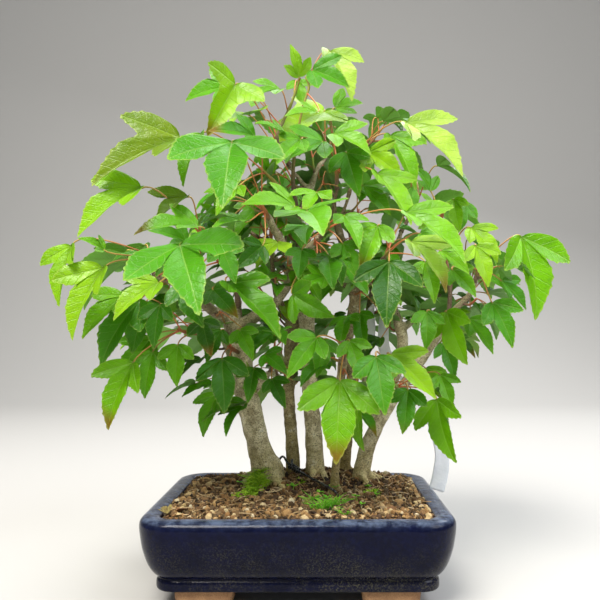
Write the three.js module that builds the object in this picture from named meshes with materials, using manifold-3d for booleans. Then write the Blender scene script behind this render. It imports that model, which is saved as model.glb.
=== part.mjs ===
// Trident maple bonsai: a clump of six stems in a glazed rectangular pot.
// Millimetres, +Z up, the front of the pot faces -Y.
import * as THREE from "three";
import { mergeVertices } from "three/addons/utils/BufferGeometryUtils.js";
import Module from "manifold-3d";

const wasm = await Module();
wasm.setup();

// Driving dimensions
const POT = { width: 205, depth: 160, corner: 24, tightest: 5, base: 11, floor: 17 };
const DRAIN = { offset: 45, radius: 7 };
const FOOT = { width: 38, depth: 24, height: 12.5, x: 60, y: 54, chamfer: 4, taper: 1.2, taperTop: 3 };
const SCREEN = { side: 26, thick: 0.8, hole: 7, pitch: 10 };
const MOUND = { x: 10, y: 44, reachX: 58, reachY: 30, height: 9, edge: 56.2, grain: 0.45 };
const GAP = 0.3;
const BLADE_THICK = 0.7;
const PETIOLE_RADIUS = 0.6;
const LABEL = { width: 12.5, thick: 0.8, bend: 4 };

// The plant is measured from one standpoint in front of it. A place is written as where it
// appears on the upright plane through the middle of the pot, with its real depth.
const EYE = { x: 13, z: 170, distance: 478 };

function placed(x, z, depth) {
  const k = (depth + EYE.distance) / EYE.distance;
  return new THREE.Vector3(EYE.x + (x - EYE.x) * k, depth, EYE.z + (z - EYE.z) * k);
}

// Stems and branches: rows of x, z, depth and radius
const STEMS = {
  stem_left: [
    [[-23, 60, 34, 14], [-23.8, 74, 32, 13], [-28, 86, 31, 10], [-31.2, 97, 30, 8.6],
      [-36.3, 119, 29, 8.8],
      [-40.7, 138, 28, 9], [-42.2, 156, 27, 7.6], [-45.9, 171, 26, 7], [-50, 183, 25, 7.4],
      [-52, 190, 25, 4]],
    [[-34, 84, 38, 4], [-40, 108, 42, 3.8], [-47, 136, 46, 3.4], [-52, 158, 52, 2.8],
      [-58, 174, 56, 2.3]],
    [[-48, 181, 25, 5.6], [-40.7, 182.5, 21, 5], [-28.2, 191, 16, 4.2], [-18.7, 198, 12, 4],
      [-11.3, 207.5, 8, 3.9],
      [-6.2, 218.6, 4, 3.9], [-4, 227.4, 0, 4.6], [-4.2, 230, -1, 3]],
    [[-4, 226, 0, 3.4], [1.2, 231, -6, 3], [7.1, 239, -15, 2.6], [13.8, 246, -25, 2.1]],
    [[-4.5, 227, 0, 3.4], [-12.8, 240.6, -4, 3.1], [-20.9, 255.3, -11, 2.6], [-26, 265.5, -18, 1.9]],
    [[-50, 184, 25, 5], [-62.8, 191.4, 18, 4.5], [-70.1, 196.5, 8, 4], [-81.2, 207.5, -6, 3.3],
      [-97, 214, -18, 2.4],
      [-107, 218.6, -24, 1.7]],
    [[-46, 184, 22, 3], [-45.9, 200, 14, 2.2], [-47.3, 208, -4, 1.8]],
    [[-36, 132, 24, 3.6], [-28.2, 139.9, 14, 3], [-22.3, 146.5, 6, 2.3], [-15, 142.8, 0, 1.6]],
  ],
  stem_left_middle: [
    [[-5.4, 66, 47, 6.4], [-5.4, 79, 46, 5.3], [-6.9, 104.6, 44, 4.6], [-8.4, 126.6, 40, 4.5],
      [-7.6, 148.7, 37, 4.4],
      [-6.9, 167, 35, 4.6], [-5.6, 181.8, 33, 5.6], [-5.4, 187, 33, 4]],
    [[-6, 183, 33, 3.6], [-12.8, 192.8, 31, 3], [-17, 202, 29, 2.6], [-20, 218, 27, 2.1],
      [-21.6, 244, 22, 1.5]],
    [[-5, 183, 34, 3.4], [-2, 190, 40, 3], [2, 205, 48, 2.6], [4, 226, 58, 2.2], [2, 246, 66, 1.7]],
  ],
  stem_middle: [
    [[11.5, 62, 41, 9], [11.5, 75, 40, 7.6], [10, 104.6, 38, 6.6], [7.8, 126.6, 34, 6.2],
      [6.3, 156, 30, 5.8],
      [5.6, 174.4, 27, 5.6], [4.4, 187, 25, 6.4], [1.2, 204, 22, 4.6], [0.5, 229.6, 19, 4],
      [-1, 248, 16, 3.7],
      [-1.5, 259, 14, 3.3], [1.9, 270, 11, 2.9], [7.1, 281, 9, 3]],
    [[7, 280, 9, 2.6], [-0.2, 288, 6, 2.2], [-8, 299, 3, 1.9], [-14.6, 311, 0, 1.5]],
    [[7, 280, 9, 2.5], [10.8, 292, 12, 2], [15, 300, 18, 1.6], [22, 306, 26, 1.3]],
    [[1.5, 202, 22, 3.4], [-6, 214, 40, 2.8], [-16, 228, 56, 2.4], [-28, 244, 66, 1.9]],
  ],
  stem_front: [
    [[25.5, 54, 6, 4.4], [25.5, 62, 5, 3.9], [25.5, 75, 3, 3.6], [26.9, 86, 0, 3.4],
      [28.4, 112, -7, 3.2],
      [29.9, 138, -15, 3], [31.3, 156, -22, 2.6], [31.3, 169, -28, 1.8]],
  ],
  stem_right: [
    [[44, 62, 37, 8.6], [45.3, 74, 35, 7.2], [49, 90, 33, 6.4], [54.9, 104.6, 30, 5.8],
      [61, 115.6, 28, 5.6]],
    [[60, 113, 28, 5], [73.3, 134, 22, 4.2], [86.5, 152.4, 15, 3.7], [100.5, 173, 10, 3.3],
      [107.8, 182, 8, 3],
      [113.7, 193, 6, 2.8], [121, 200.2, 4, 2.5], [126.2, 207.5, 2, 2.2], [130, 218, 0, 1.7]],
    [[60, 113, 28, 5], [67, 137.7, 31, 4.6], [73.3, 156, 34, 4.4], [75.5, 167, 36, 4.2],
      [74, 178, 38, 5],
      [71, 187, 39, 3.6], [66, 207.5, 42, 2.9], [68, 230, 46, 2.3], [74, 250, 50, 1.7]],
    [[56, 108, 32, 4.2], [50, 132, 42, 3.8], [48.3, 152, 47, 3.5], [48.3, 171, 50, 3.4],
      [50, 192, 56, 2.9],
      [54, 214, 62, 2.3]],
    [[74, 178, 38, 3.6], [88, 190, 48, 2.8], [102, 204, 54, 2.2], [110, 214, 58, 1.7]],
  ],
  stem_tall: [
    [[32.8, 70, 56, 5.6], [32.8, 82.5, 55, 4.8], [35.8, 115.6, 52, 4.8], [38, 145, 47, 4.9],
      [34.6, 171, 42, 5],
      [38, 184, 40, 5.6], [40.2, 200, 38, 4.6], [38, 209.7, 36, 5], [35, 228, 33, 4.2],
      [31.3, 240.6, 30, 3.8],
      [26.9, 255, 27, 3.6], [26.4, 260, 26, 2.6]],
    [[27, 254, 27, 2.8], [24.7, 268.6, 25, 2.3], [26.9, 281, 22, 2], [26.9, 293, 17, 1.6]],
    [[27, 254, 27, 2.6], [33.5, 270, 30, 2], [38, 288, 36, 1.6], [42, 306, 42, 1.3]],
    [[38, 208, 36, 3.4], [31.3, 212.7, 30, 2.7], [24, 220, 22, 2.4], [16.5, 231, 12, 2],
      [13, 240.6, 5, 1.6]],
    [[38, 207, 36, 3.6], [47.5, 212.7, 26, 2.6], [53, 219, 14, 2.2], [61, 230, -4, 1.7]],
    [[40, 198, 38, 3.2], [42, 212, 50, 2.6], [40, 232, 60, 2.1], [36, 250, 66, 1.6]],
  ],
};

// Leafy shoots. Each has the limb row it grows from, its own stem rows, and its leaves.
// A leaf row: the stem row its stalk leaves from, blade base x, z, depth, blade tip x, z, depth,
// and then roll, fold, lobe length and lobe splay where they differ from the usual.
const USUAL = { roll: 0, fold: 0.3, lobe: 0.58, splay: 0.87 };
const SHOOTS = {
  leaves_left_shoulder: {
    stem: [[-20.9, 255.3, -11, 2], [-26, 264.9, -20, 1.6], [-29, 271, -27, 0.9]],
    leaves: [
      [1, -87.8, 318.6, -55, -154, 284, -70, 0.2, 0.45, 0.6],
      [1, -50.3, 315.6, -100, -56.2, 268.6, -132, 0, 0.25, 0.8],
      [2, -33.4, 320, -38, -67.2, 324.5, -55],
      [1, -50.3, 276.7, -34, -71, 279, -48, 0.2],
      [1, -40, 257.5, -42, -66, 252, -60, 0.5],
      [1, -28, 240, -34, -48, 222, -44, -0.4],
    ],
  },
  leaves_far_left: {
    stem: [[-70.1, 196.5, 8, 2.6], [-75.3, 222, -12, 1.9], [-73.8, 242, -32, 1.5],
      [-73.8, 252, -42, 1]],
    leaves: [
      [3, -116.5, 282.5, -62, -164.3, 246.5, -75, 0.3, 0.45, 0.62],
      [3, -82.6, 275.9, -50, -107, 256, -58, 0.4, 0.5, 0.9],
      [2, -75, 254, -56, -123, 249.5, -68, 0.4, 0.4],
      [2, -61.3, 261, -20, -74, 271, -30, 0, 0.3, 0.75],
      [1, -84, 243, -8, -112, 252, -14, 0.2],
      [1, -66, 236, 4, -70, 262, 20, 0.3],
    ],
  },
  leaves_left_middle: {
    stem: [[-81.2, 207.5, -6, 2.4], [-88.5, 218.6, -22, 1.8], [-92.9, 224.4, -36, 1.4],
      [-97.4, 228, -43, 0.9]],
    leaves: [
      [3, -144.4, 223.7, -60, -169.4, 170.8, -70, 0.35, 0.5, 0.62],
      [3, -168, 240, -50, -177.5, 195, -57, 0.5, 0.4],
      [3, -144.4, 236.5, -44, -163.5, 246, -54, 0.3],
      [2, -104, 212.7, -70, -138.5, 186, -82, 0.3, 0.35, 0.6],
      [2, -129, 203, -28, -161.3, 172, -38, 0.3],
      [1, -117.9, 200, -14, -148.8, 151, -24, 0.2],
      [2, -87.8, 225.9, -56, -86.3, 200, -68, 0.1],
    ],
  },
  leaves_front_left: {
    stem: [[-45.9, 196, 16, 2.4], [-47.3, 207.5, -5, 1.8], [-53.2, 221, -32, 1.4],
      [-62.8, 231, -52, 0.9]],
    leaves: [
      [3, -88.5, 240, -92, -73.8, 190.6, -128, 0, 0.25, 0.8],
      [3, -84.8, 212.7, -72, -71.6, 180, -88, 0.3],
      [2, -53.2, 212, -55, -14.2, 172, -74, -0.5, 0.5, 0.5],
      [1, -64.3, 207.5, -33, -46.6, 187, -46],
      [3, -57.6, 238, -60, -47.3, 212, -72],
    ],
  },
  leaves_low_left: {
    stem: [[-50, 174, 26, 2.4], [-66.5, 175, 4, 1.8], [-82.6, 176, -16, 1.4], [-90, 178.5, -24, 0.9]],
    leaves: [
      [3, -123, 154, -38, -142.9, 104.6, -46, 0.2, 0.4],
      [3, -108.4, 162, -29, -115, 127.4, -35],
      [2, -90, 167, -26, -91.5, 136, -32],
      [2, -113.5, 198.7, -6, -123, 160, -10],
      [3, -103, 196.5, -34, -107, 163.4, -40, 0.2],
      [1, -110, 172, 4, -132, 138, 0],
      [1, -72, 184, -14, -66, 158, -26],
    ],
  },
  leaves_trunk_left: {
    stem: [[-43, 160, 26, 2], [-50, 164, 10, 1.5], [-53, 166, -2, 0.9]],
    leaves: [
      [2, -57.6, 157, -14, -54.7, 116.3, -26, 0, 0.2, 0.62],
      [1, -60.6, 131, 8, -72.3, 99.4, 2, 0.3],
      [2, -44.4, 178, -16, -34, 156, -26],
      [1, -58, 178, 2, -70, 154, -6],
    ],
  },
  leaves_low_middle: {
    stem: [[-22.3, 146.5, 6, 1.7], [-20, 154, -4, 1.3], [-18, 160, -12, 0.8]],
    leaves: [
      [2, -26, 160, -22, -9.1, 146, -34],
      [1, -20.9, 142, -12, -11.3, 120, -22],
      [2, -20, 176, -16, -38, 160, -26, 0.3],
      [1, -34, 150, -8, -38, 124, -18],
    ],
  },
  leaves_front_fan: {
    stem: [[12.4, 244.3, -22.5, 1.7], [19.6, 252.4, -34, 1.4], [21, 257, -40, 0.9]],
    leaves: [
      [1, 77.7, 264.2, -66, 122.5, 228, -82, -0.4, 0.4],
      [1, -4, 268.6, -62, -42.9, 270, -82, 0.2],
      [2, 4.9, 265, -80, 18, 248, -122, 0, 0.2, 0.62],
      [2, 12.2, 279, -56, 3, 262, -72, 0.2, 0.3, 0.75],
      [1, 1.2, 237, -48, -1.7, 215, -60],
      [1, 31, 241.5, -44, 41.6, 216, -54],
      [2, 32, 262, -50, 44, 238, -66, -0.3],
    ],
  },
  leaves_upper_left: {
    stem: [[-1, 250, 16, 2.2], [-11.3, 277, -6, 1.6], [-20, 287.7, -18, 1.3], [-28.2, 295.8, -26, 0.9]],
    leaves: [
      [3, -72.4, 322, -44, -85.6, 284, -56, 0.6, 0.4],
      [2, -23, 291, -6, -36, 314, -14, 0.3],
      [3, -45, 284, -40, -62, 262, -52, 0.2],
      [1, -30, 270, -14, -48, 246, -24],
    ],
  },
  leaves_upper_middle: {
    stem: [[-1.5, 259, 14, 2.2], [-4.7, 281, 5, 1.7], [-5.4, 290, -2, 1.5], [-4.7, 303, -8, 1.2],
      [-3, 318, -14, 1], [1.9, 342, -18, 0.9], [6.3, 356, -16, 0.8], [4.1, 364, -14, 0.7]],
    leaves: [
      [2, -37.8, 336, -22, -51, 330, -50, 0.3, 0.2, 0.8],
      [7, 9, 369, -8, 36, 356, -14, 0.1, 0.3, 0.75],
      [7, 21.8, 382.6, 2, 38, 347, -8, -0.4, 0.4, 0.6],
      [6, 12, 338, -36, -11.3, 334.8, -44, 0.3],
      [4, 0.5, 318, -36, -18, 300, -46],
      [4, -12, 322, -34, -34, 330, -44, 0.5],
    ],
  },
  leaves_top_left: {
    stem: [[-8, 299, 3, 1.9], [-14.6, 311, -2, 1.4], [-17.2, 320, -6, 1.2],
      [-12.8, 331, -6, 1.1], [-7.6, 342, -6, 1],
      [-3.5, 353, -6, 0.9], [-0.3, 363, -6, 0.8]],
    leaves: [
      [1, -48, 358.3, -22, -69.4, 320, -35, -0.8, 0.6, 0.6, 1.3],
      [3, -50.3, 356.8, 8, -85, 347.3, 12],
      [4, -15, 354.6, -4, -36, 348, -14, 0.3, 0.3, 0.85],
      [2, -31.9, 348.7, -6, -59, 340.6, -16],
      [6, -1, 364, -8, -8, 388, -16, 0.2, 0.3, 0.7],
      [5, -2.5, 361, 8, 3, 341, 2],
    ],
  },
  leaves_top_right: {
    stem: [[26.9, 281, 22, 1.8], [26.9, 294.3, 16, 1.5], [27, 300, 12, 0.9]],
    leaves: [
      [2, 24.7, 322, -10, 52.7, 308.3, -22, -0.2, 0.3, 0.75],
      [2, 17.4, 338.4, -5, -22.3, 311.2, -28, 0.2, 0.1, 0.5, 1.4],
      [2, 25.5, 341.4, 22, 46, 345, 28, 0, 0.2, 0.8],
      [1, 16.6, 316.4, -8, -7.6, 304, -22, 0, 0.3, 0.85],
      [1, 34, 308.3, 0, 43.8, 276, -10, 0.3],
      [1, 56.3, 292.9, -28, 80.6, 254.6, -42, -0.5, 0.4],
      [1, 77.7, 330.3, -14, 121, 292, -28, -0.3, 0.35, 0.62],
      [2, 65.9, 320.8, 18, 84.3, 281, 8, -0.3, 0.5],
      [2, 50.5, 308.3, -14, 75.5, 290, -28, 0, 0.3, 0.62],
      [1, 46, 284, 14, 66, 262, 6],
    ],
  },
  leaves_right_front: {
    stem: [[61, 230, -4, 1.7], [64, 234, -16, 1.3], [66, 237, -24, 0.9]],
    leaves: [
      [2, 81.3, 242.8, -48, 108.6, 206, -62, -0.4, 0.45, 0.62],
      [1, 88, 249, -24, 108, 238, -32],
      [2, 65.2, 228, -62, 62.2, 179.6, -80, 0, 0.15, 0.62],
      [2, 57, 254.6, -46, 45.3, 221, -58, 0.1],
      [1, 91.6, 228, -34, 99.7, 198, -46],
      [1, 76, 262, 2, 84, 284, 12, 0.4],
    ],
  },
  leaves_right_top: {
    stem: [[108.8, 184, 8, 1.9], [110, 211, 14, 1.6], [105.6, 238, 16, 1.3],
      [104.2, 262.7, 12, 1.1], [108.6, 271.5, 10, 0.8]],
    leaves: [
      [3, 100, 266, 0, 83, 268, -10, 0.2, 0.3, 0.8],
      [3, 101, 258, -4, 96, 234, -14, 0.3],
      [4, 113, 274, 4, 117, 250, -2, 0.5],
      [4, 119.5, 272, 12, 112.2, 246, 6, -0.3],
      [2, 125.5, 253, -12, 146, 228, -22, -0.1],
      [2, 103.4, 236, -30, 124, 219, -38],
      [3, 96, 280, 26, 84, 298, 34, 0.3],
      [1, 128, 222, 26, 150, 208, 34, -0.2],
    ],
  },
  leaves_far_right: {
    stem: [[128, 213, 1, 1.7], [131, 222, -2, 1.4], [133.6, 228, -5, 0.9]],
    leaves: [
      [2, 162.2, 246.5, -10, 175.5, 185.5, -16, -0.25, 0.35, 0.63],
      [2, 129, 240, -26, 139, 209.7, -34],
      [1, 141, 198, -14, 157, 165, -22, 0, 0.3, 0.62],
      [1, 112, 222, -26, 130, 203, -36, 0.2],
      [1, 148, 214, 16, 166, 192, 22, -0.3],
    ],
  },
  leaves_right_middle: {
    stem: [[103, 176, 10, 1.9], [104, 180, -4, 1.5], [103, 184, -16, 0.9]],
    leaves: [
      [2, 107.8, 191.4, -28, 123.3, 152.4, -36, 0.8],
      [2, 93, 191.4, -30, 93, 163, -38],
      [1, 105, 168, -8, 114, 142, -16],
      [1, 124, 186, -2, 142, 160, -8, -0.2],
    ],
  },
  leaves_low_right: {
    stem: [[73.3, 134, 22, 2], [71, 136, 2, 1.5], [68.8, 140, -16, 0.9]],
    leaves: [
      [2, 55.6, 158.3, -62, 61.5, 115, -76, 0, 0.2],
      [2, 66.5, 160, -46, 99, 126.6, -58, -0.2],
      [2, 79, 134, -44, 76.2, 101, -54],
      [1, 100.5, 127, -28, 113, 79.6, -38, 0.8],
      [1, 102.7, 145, -14, 111.5, 119, -22],
      [1, 92, 150, 26, 104, 126, 30],
    ],
  },
  leaves_low_front: {
    stem: [[31.3, 154.6, -22, 1.8], [32.8, 162, -30, 1.4], [33.4, 167, -35, 0.9]],
    leaves: [
      [2, 29.1, 140.6, -58, 26.2, 78.8, -74, 0, 0.15, 0.63],
      [2, 12, 172.2, -58, -9.8, 142.8, -72],
      [1, 17, 171, -44, 12, 143, -56, -0.2],
      [2, 36, 170, -50, 46, 141, -60],
      [1, 43.8, 131, -30, 46, 88.4, -38, 0.9],
    ],
  },
  leaves_middle_left: {
    stem: [[-21, 236, 24, 1.6], [-21.6, 248, 19, 1.3], [-22, 256, 16, 0.9]],
    leaves: [
      [2, -32, 262, 6, -46, 244, -2, 0.2],
      [1, -8, 254, 2, 4, 234, -8],
      [1, -38, 240, 12, -56, 222, 4, 0.2],
      [2, -16, 272, 24, -10, 294, 34, 0.3],
    ],
  },
  leaves_middle: {
    stem: [[16.5, 231, 12, 1.8], [14, 238, 2, 1.4], [13, 244, -5, 0.9]],
    leaves: [
      [1, 18, 217, -10, -5.4, 208, -20],
      [1, -5.4, 204, -20, 25.5, 187, -36, 0.7],
      [2, 26, 236, -18, 30, 210, -28],
      [1, 32, 226, 0, 50, 204, -8],
    ],
  },
};

// Shoots round the back and the sides: the limb row each grows from, the way it grows, its
// length and its pairs of leaves. The leaves are placed by a rule.
const SIDE_SHOOTS = {
  leaves_back_left_low: [[-58, 174, 56, 2.3], [-0.9, 0.4, 0.3], 28, 2],
  leaves_back_left: [[-28, 244, 66, 1.9], [-0.8, 0.2, 0.5], 34, 2],
  leaves_back_left_top: [[-21, 240, 23, 1.4], [-0.5, 0.7, 0.9], 42, 3],
  leaves_left_end: [[-107, 218.6, -24, 1.7], [-0.4, 0.9, 0.3], 34, 3],
  leaves_left_back: [[-81.2, 207.5, -6, 2.6], [-0.6, 0.9, 0.2], 40, 2],
  leaves_back_middle: [[2, 246, 66, 1.7], [-0.1, 0.5, 0.8], 30, 3],
  leaves_back_top: [[22, 306, 26, 1.3], [-0.2, 0.9, 0.7], 38, 3],
  leaves_back_top_right: [[42, 306, 42, 1.3], [0.6, 0.4, 0.6], 32, 3],
  leaves_back_right_top: [[74, 250, 50, 1.7], [0.5, 0.4, 0.8], 38, 3],
  leaves_back_right_middle: [[36, 250, 66, 1.6], [0.3, 0.6, 0.6], 28, 2],
  leaves_back_right: [[110, 214, 58, 1.7], [0.5, 0.4, 0.5], 28, 2],
  leaves_back_right_low: [[54, 214, 62, 2.2], [0.5, 0.7, -0.2], 26, 2],
  leaves_right_back: [[121, 200.2, 4, 2.3], [0.4, 1, 0.1], 36, 3],
  leaves_back_low: [[38, 184, 40, 4], [0.1, 1, -0.1], 36, 2],
  leaves_back_low_left: [[-7.6, 148.7, 37, 4], [-0.3, 1, 0.2], 36, 2],
};
const LEAF_RULE = {
  seed: 20261, stalk: [14, 28], length: [36, 52], spread: 0.9, droop: [0.35, 1.1], roll: 0.35,
};

// Where a leaf would cross something, it slides along the line of sight and turns a little.
const SHIFTS = [[0, 0], [-5, 0], [5, 0], [-5, 0.3], [5, -0.3], [-10, 0], [10, 0], [-10, -0.3],
  [10, 0.3],
  [-16, 0], [16, 0], [-16, 0.4], [16, -0.4], [-23, 0.2], [23, -0.2], [-30, 0], [30, 0]];

// Closed skins
function closedSolid(positions, faces) {
  return new wasm.Manifold(new wasm.Mesh({
    numProp: 3,
    vertProperties: new Float32Array(positions.flatMap((p) => [p.x, p.y, p.z])),
    triVerts: new Uint32Array(faces.flat()),
  }));
}

// Rings with the same number of points, each seen anticlockwise from the last ring's side. The
// quads of a side are split along one diagonal, or along the other where crossed names the side.
function skin(rings, crossed = []) {
  const sides = rings[0].length;
  const faces = [];
  for (let r = 0; r + 1 < rings.length; r++) {
    for (let i = 0; i < sides; i++) {
      const a = r * sides + i;
      const b = r * sides + ((i + 1) % sides);
      if (crossed.includes(i)) {
        faces.push([a, b, a + sides], [b, b + sides, a + sides]);
      } else {
        faces.push([a, b, b + sides], [a, b + sides, a + sides]);
      }
    }
  }
  const last = (rings.length - 1) * sides;
  for (let i = 1; i + 1 < sides; i++) {
    faces.push([0, i + 1, i], [last, last + i, last + i + 1]);
  }
  return closedSolid(rings.flat(), faces);
}

// A tapering limb through a list of places and radii
function limb(places, radii, sides) {
  const along = places.map((p, i) => {
    const before = places[Math.max(i - 1, 0)];
    const after = places[Math.min(i + 1, places.length - 1)];
    return after.clone().sub(before).normalize();
  });
  let across = new THREE.Vector3(0.31, 0.83, 0.47).cross(along[0]).normalize();
  return skin(places.map((p, i) => {
    across = across.clone().addScaledVector(along[i], -across.dot(along[i])).normalize();
    const other = along[i].clone().cross(across);
    return Array.from({ length: sides }, (_, k) => {
      const turn = (k / sides) * 2 * Math.PI;
      return p.clone()
        .addScaledVector(across, radii[i] * Math.cos(turn))
        .addScaledVector(other, radii[i] * Math.sin(turn));
    });
  }));
}

// The same from rows, thicker and longer by an extra amount where it only cuts a clearance
function limbFromRows(rows, sides, extra = 0) {
  const places = rows.map((row) => placed(row[0], row[1], row[2]));
  const radii = rows.map((row) => row[3] + extra);
  const longer = (end, next) => end.clone().add(end.clone().sub(next).setLength(extra));
  if (extra > 0) {
    const last = places.length - 1;
    const first = longer(places[0], places[1]);
    return limb([first, ...places.slice(1, last), longer(places[last], places[last - 1])], radii, sides);
  }
  return limb(places, radii, sides);
}

function union(solids) {
  return solids.reduce((sum, solid) => sum.add(solid));
}

// The largest whole body in a solid
function largest(solid) {
  return solid.decompose().reduce((best, piece) => (piece.volume() > best.volume() ? piece : best));
}

// Corners closer than this are one corner
const WELD = 1e-3;

// A solid as a geometry, free of slivers
function geometryOf(solid) {
  const { vertProperties, triVerts } = largest(solid.simplify(0.02)).getMesh();
  const loose = new THREE.BufferGeometry();
  loose.setAttribute("position", new THREE.BufferAttribute(vertProperties.slice(), 3));
  loose.setIndex([...triVerts]);
  const welded = mergeVertices(loose, WELD);
  const body = largest(new wasm.Manifold(new wasm.Mesh({
    numProp: 3,
    vertProperties: welded.attributes.position.array,
    triVerts: new Uint32Array(welded.index.array),
  }))).getMesh();
  const geometry = new THREE.BufferGeometry();
  geometry.setAttribute("position", new THREE.BufferAttribute(body.vertProperties.slice(), 3));
  geometry.setIndex([...body.triVerts]);
  geometry.computeVertexNormals();
  return geometry;
}

// Pot
function roundedRing(inset, z) {
  const r = Math.max(POT.corner - inset, POT.tightest);
  const x = POT.width / 2 - inset - r;
  const y = POT.depth / 2 - inset - r;
  const ring = [];
  for (let k = 0; k < 16; k++) {
    const quarter = Math.floor(k / 4);
    const turn = (quarter + (k % 4) / 3) * (Math.PI / 2);
    const sx = quarter === 0 || quarter === 3 ? 1 : -1;
    const sy = quarter < 2 ? 1 : -1;
    ring.push(new THREE.Vector3(sx * x + r * Math.cos(turn), sy * y + r * Math.sin(turn), z));
  }
  return ring;
}

// Inset from the rim's outer edge against height: outside upwards, over the lip, inside downwards
const OUTSIDE = [[13, 11], [11, 12.5], [11, 16.5], [12, 18.6], [9.5, 21], [5, 28], [1.6, 38],
  [0, 50], [1.3, 55.6],
  [4.2, 57.5], [8, 58]];
const INSIDE = [[12.6, 57.6], [14, 56], [13.6, 52.5], [10, 49], [11, 36], [17, 20.5], [24, 17]];

function pot() {
  let body = skin([...OUTSIDE, ...INSIDE].map(([inset, z]) => roundedRing(inset, z)));
  for (const sx of [-1, 1]) {
    body = body.subtract(upright(DRAIN.radius, 12, sx * DRAIN.offset, 0, POT.base - 2, POT.floor + 2));
    for (const sy of [-1, 1]) {
      body = body.add(foot(sx * FOOT.x, sy * FOOT.y));
    }
  }
  return body;
}

function upright(radius, sides, x, y, low, high) {
  return limb([new THREE.Vector3(x, y, low), new THREE.Vector3(x, y, high)], [radius, radius], sides);
}

// A foot is a plain block, a little narrower at the ground
function foot(x, y) {
  const outline = (grow, z) => {
    const w = FOOT.width / 2 + grow;
    const d = FOOT.depth / 2 + grow;
    const c = FOOT.chamfer;
    return [[-w, c - d], [c - w, -d], [w - c, -d], [w, c - d], [w, d - c], [w - c, d],
      [c - w, d], [-w, d - c]]
      .map(([px, py]) => new THREE.Vector3(x + px, y + py, z));
  };
  return skin([outline(-FOOT.taper, 0), outline(0, FOOT.taperTop), outline(0, FOOT.height)]);
}

// Plastic screen over a drain hole, and the room it takes in the soil
const SCREEN_LOW = POT.floor + GAP;

function plate(side, x, y, low, high) {
  const corners = [[-1, -1], [1, -1], [1, 1], [-1, 1]];
  return skin([low, high].map((z) =>
    corners.map(([px, py]) => new THREE.Vector3(x + (px * side) / 2, y + (py * side) / 2, z))));
}

function screen(x) {
  let body = plate(SCREEN.side, x, 0, SCREEN_LOW, SCREEN_LOW + SCREEN.thick);
  for (const i of [-0.5, 0.5]) {
    for (const j of [-0.5, 0.5]) {
      const hole = plate(SCREEN.hole, x + i * SCREEN.pitch, j * SCREEN.pitch, POT.floor, POT.floor + 3);
      body = body.subtract(hole);
    }
  }
  return body;
}

function screenRecess(x) {
  return plate(SCREEN.side + 2 * GAP, x, 0, POT.floor, SCREEN_LOW + SCREEN.thick + GAP);
}

// Soil: it fills the pot, rises round the stems and has a lumpy top
function soilHeight(x, y) {
  const away = ((x - MOUND.x) / MOUND.reachX) ** 2 + ((y - MOUND.y) / MOUND.reachY) ** 2;
  const lumps = MOUND.grain * (Math.sin(x * 0.9 + y * 0.37) + Math.sin(y * 1.1 - x * 0.53));
  return MOUND.edge + MOUND.height * Math.exp(-away) + lumps;
}

function soil() {
  const walls = [[24.6, 17.3], [17.5, 20.8], [11.5, 36], [10.5, 49], [14.1, 52.6], [14.5, 55.2]];
  const rings = walls.map(([inset, z]) => roundedRing(inset, z));
  const rim = roundedRing(14.5, 0);
  for (const share of [0.87, 0.68, 0.46, 0.2]) {
    rings.push(rim.map(({ x, y }) =>
      new THREE.Vector3(x * share, y * share, soilHeight(x * share, y * share))));
  }
  return skin(rings);
}

// Roots that leave a stem's foot and dip into the soil
function roots([x, z, depth, radius, turns], extra) {
  const foot = placed(x, z, depth);
  return turns.map((a) => {
    const reach = radius * (2.1 + 0.3 * Math.sin(3 * a));
    const at = (share, h) => {
      const px = foot.x + Math.cos(a) * reach * share;
      const py = foot.y + Math.sin(a) * reach * share;
      return new THREE.Vector3(px, py, soilHeight(px, py) + h);
    };
    return limb([at(0, 5), at(0.55, 2), at(1.15, -3)],
      [0.5, 0.34, 0.16].map((share) => radius * share + extra), 4);
  });
}
const ROOTS = {
  stem_left: [-24, 74, 32, 12, [2.5, 3.4, 4.3, 5.2]],
  stem_left_middle: [-5.4, 79, 46, 6, [1.7]],
  stem_middle: [11.5, 75, 40, 8, [4.4, 5.1]],
  stem_front: [25.5, 62, 5, 4.5, [3.7, 5.7]],
  stem_right: [45.3, 74, 35, 8, [4.8, 5.9, 0.3]],
  stem_tall: [32.8, 82.5, 55, 5.5, [2.4, 0.3]],
};

// A leaf blade: three lobes about its midrib, folded along it and a little arched
const ARCH = 0.07;
const KNEE = 1.2;

// A stalk leaves its stem this share of the way back to the row below
const ROOT_BACK = 0.3;
const TOWARDS = new THREE.Vector3(0, -0.9, 0.44).normalize();

function bladeFrame(leaf) {
  const axis = leaf.tip.clone().sub(leaf.base);
  const length = axis.length();
  axis.normalize();
  const square = leaf.facing.clone().addScaledVector(axis, -leaf.facing.dot(axis)).normalize();
  const up = square.applyAxisAngle(axis, leaf.roll);
  return { length, axis, up, side: axis.clone().cross(up) };
}

function bladePoint(leaf, frame, across, along, lift = 0) {
  const height = Math.tan(leaf.fold) * Math.abs(across) + ARCH * 4 * along * (1 - along);
  return leaf.base.clone()
    .addScaledVector(frame.side, across * frame.length * Math.cos(leaf.fold))
    .addScaledVector(frame.axis, along * frame.length)
    .addScaledVector(frame.up, height * Math.cos(leaf.fold) * frame.length + lift);
}

// Half of the blade's edge from the stalk outwards: the lobe's heel, its tip and the notch
function halfOutline(leaf) {
  return [[0.26, leaf.splay + 0.42], [leaf.lobe, leaf.splay], [0.44, leaf.splay * 0.5]]
    .map(([reach, turn]) => [reach * Math.sin(turn), reach * Math.cos(turn)]);
}

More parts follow.
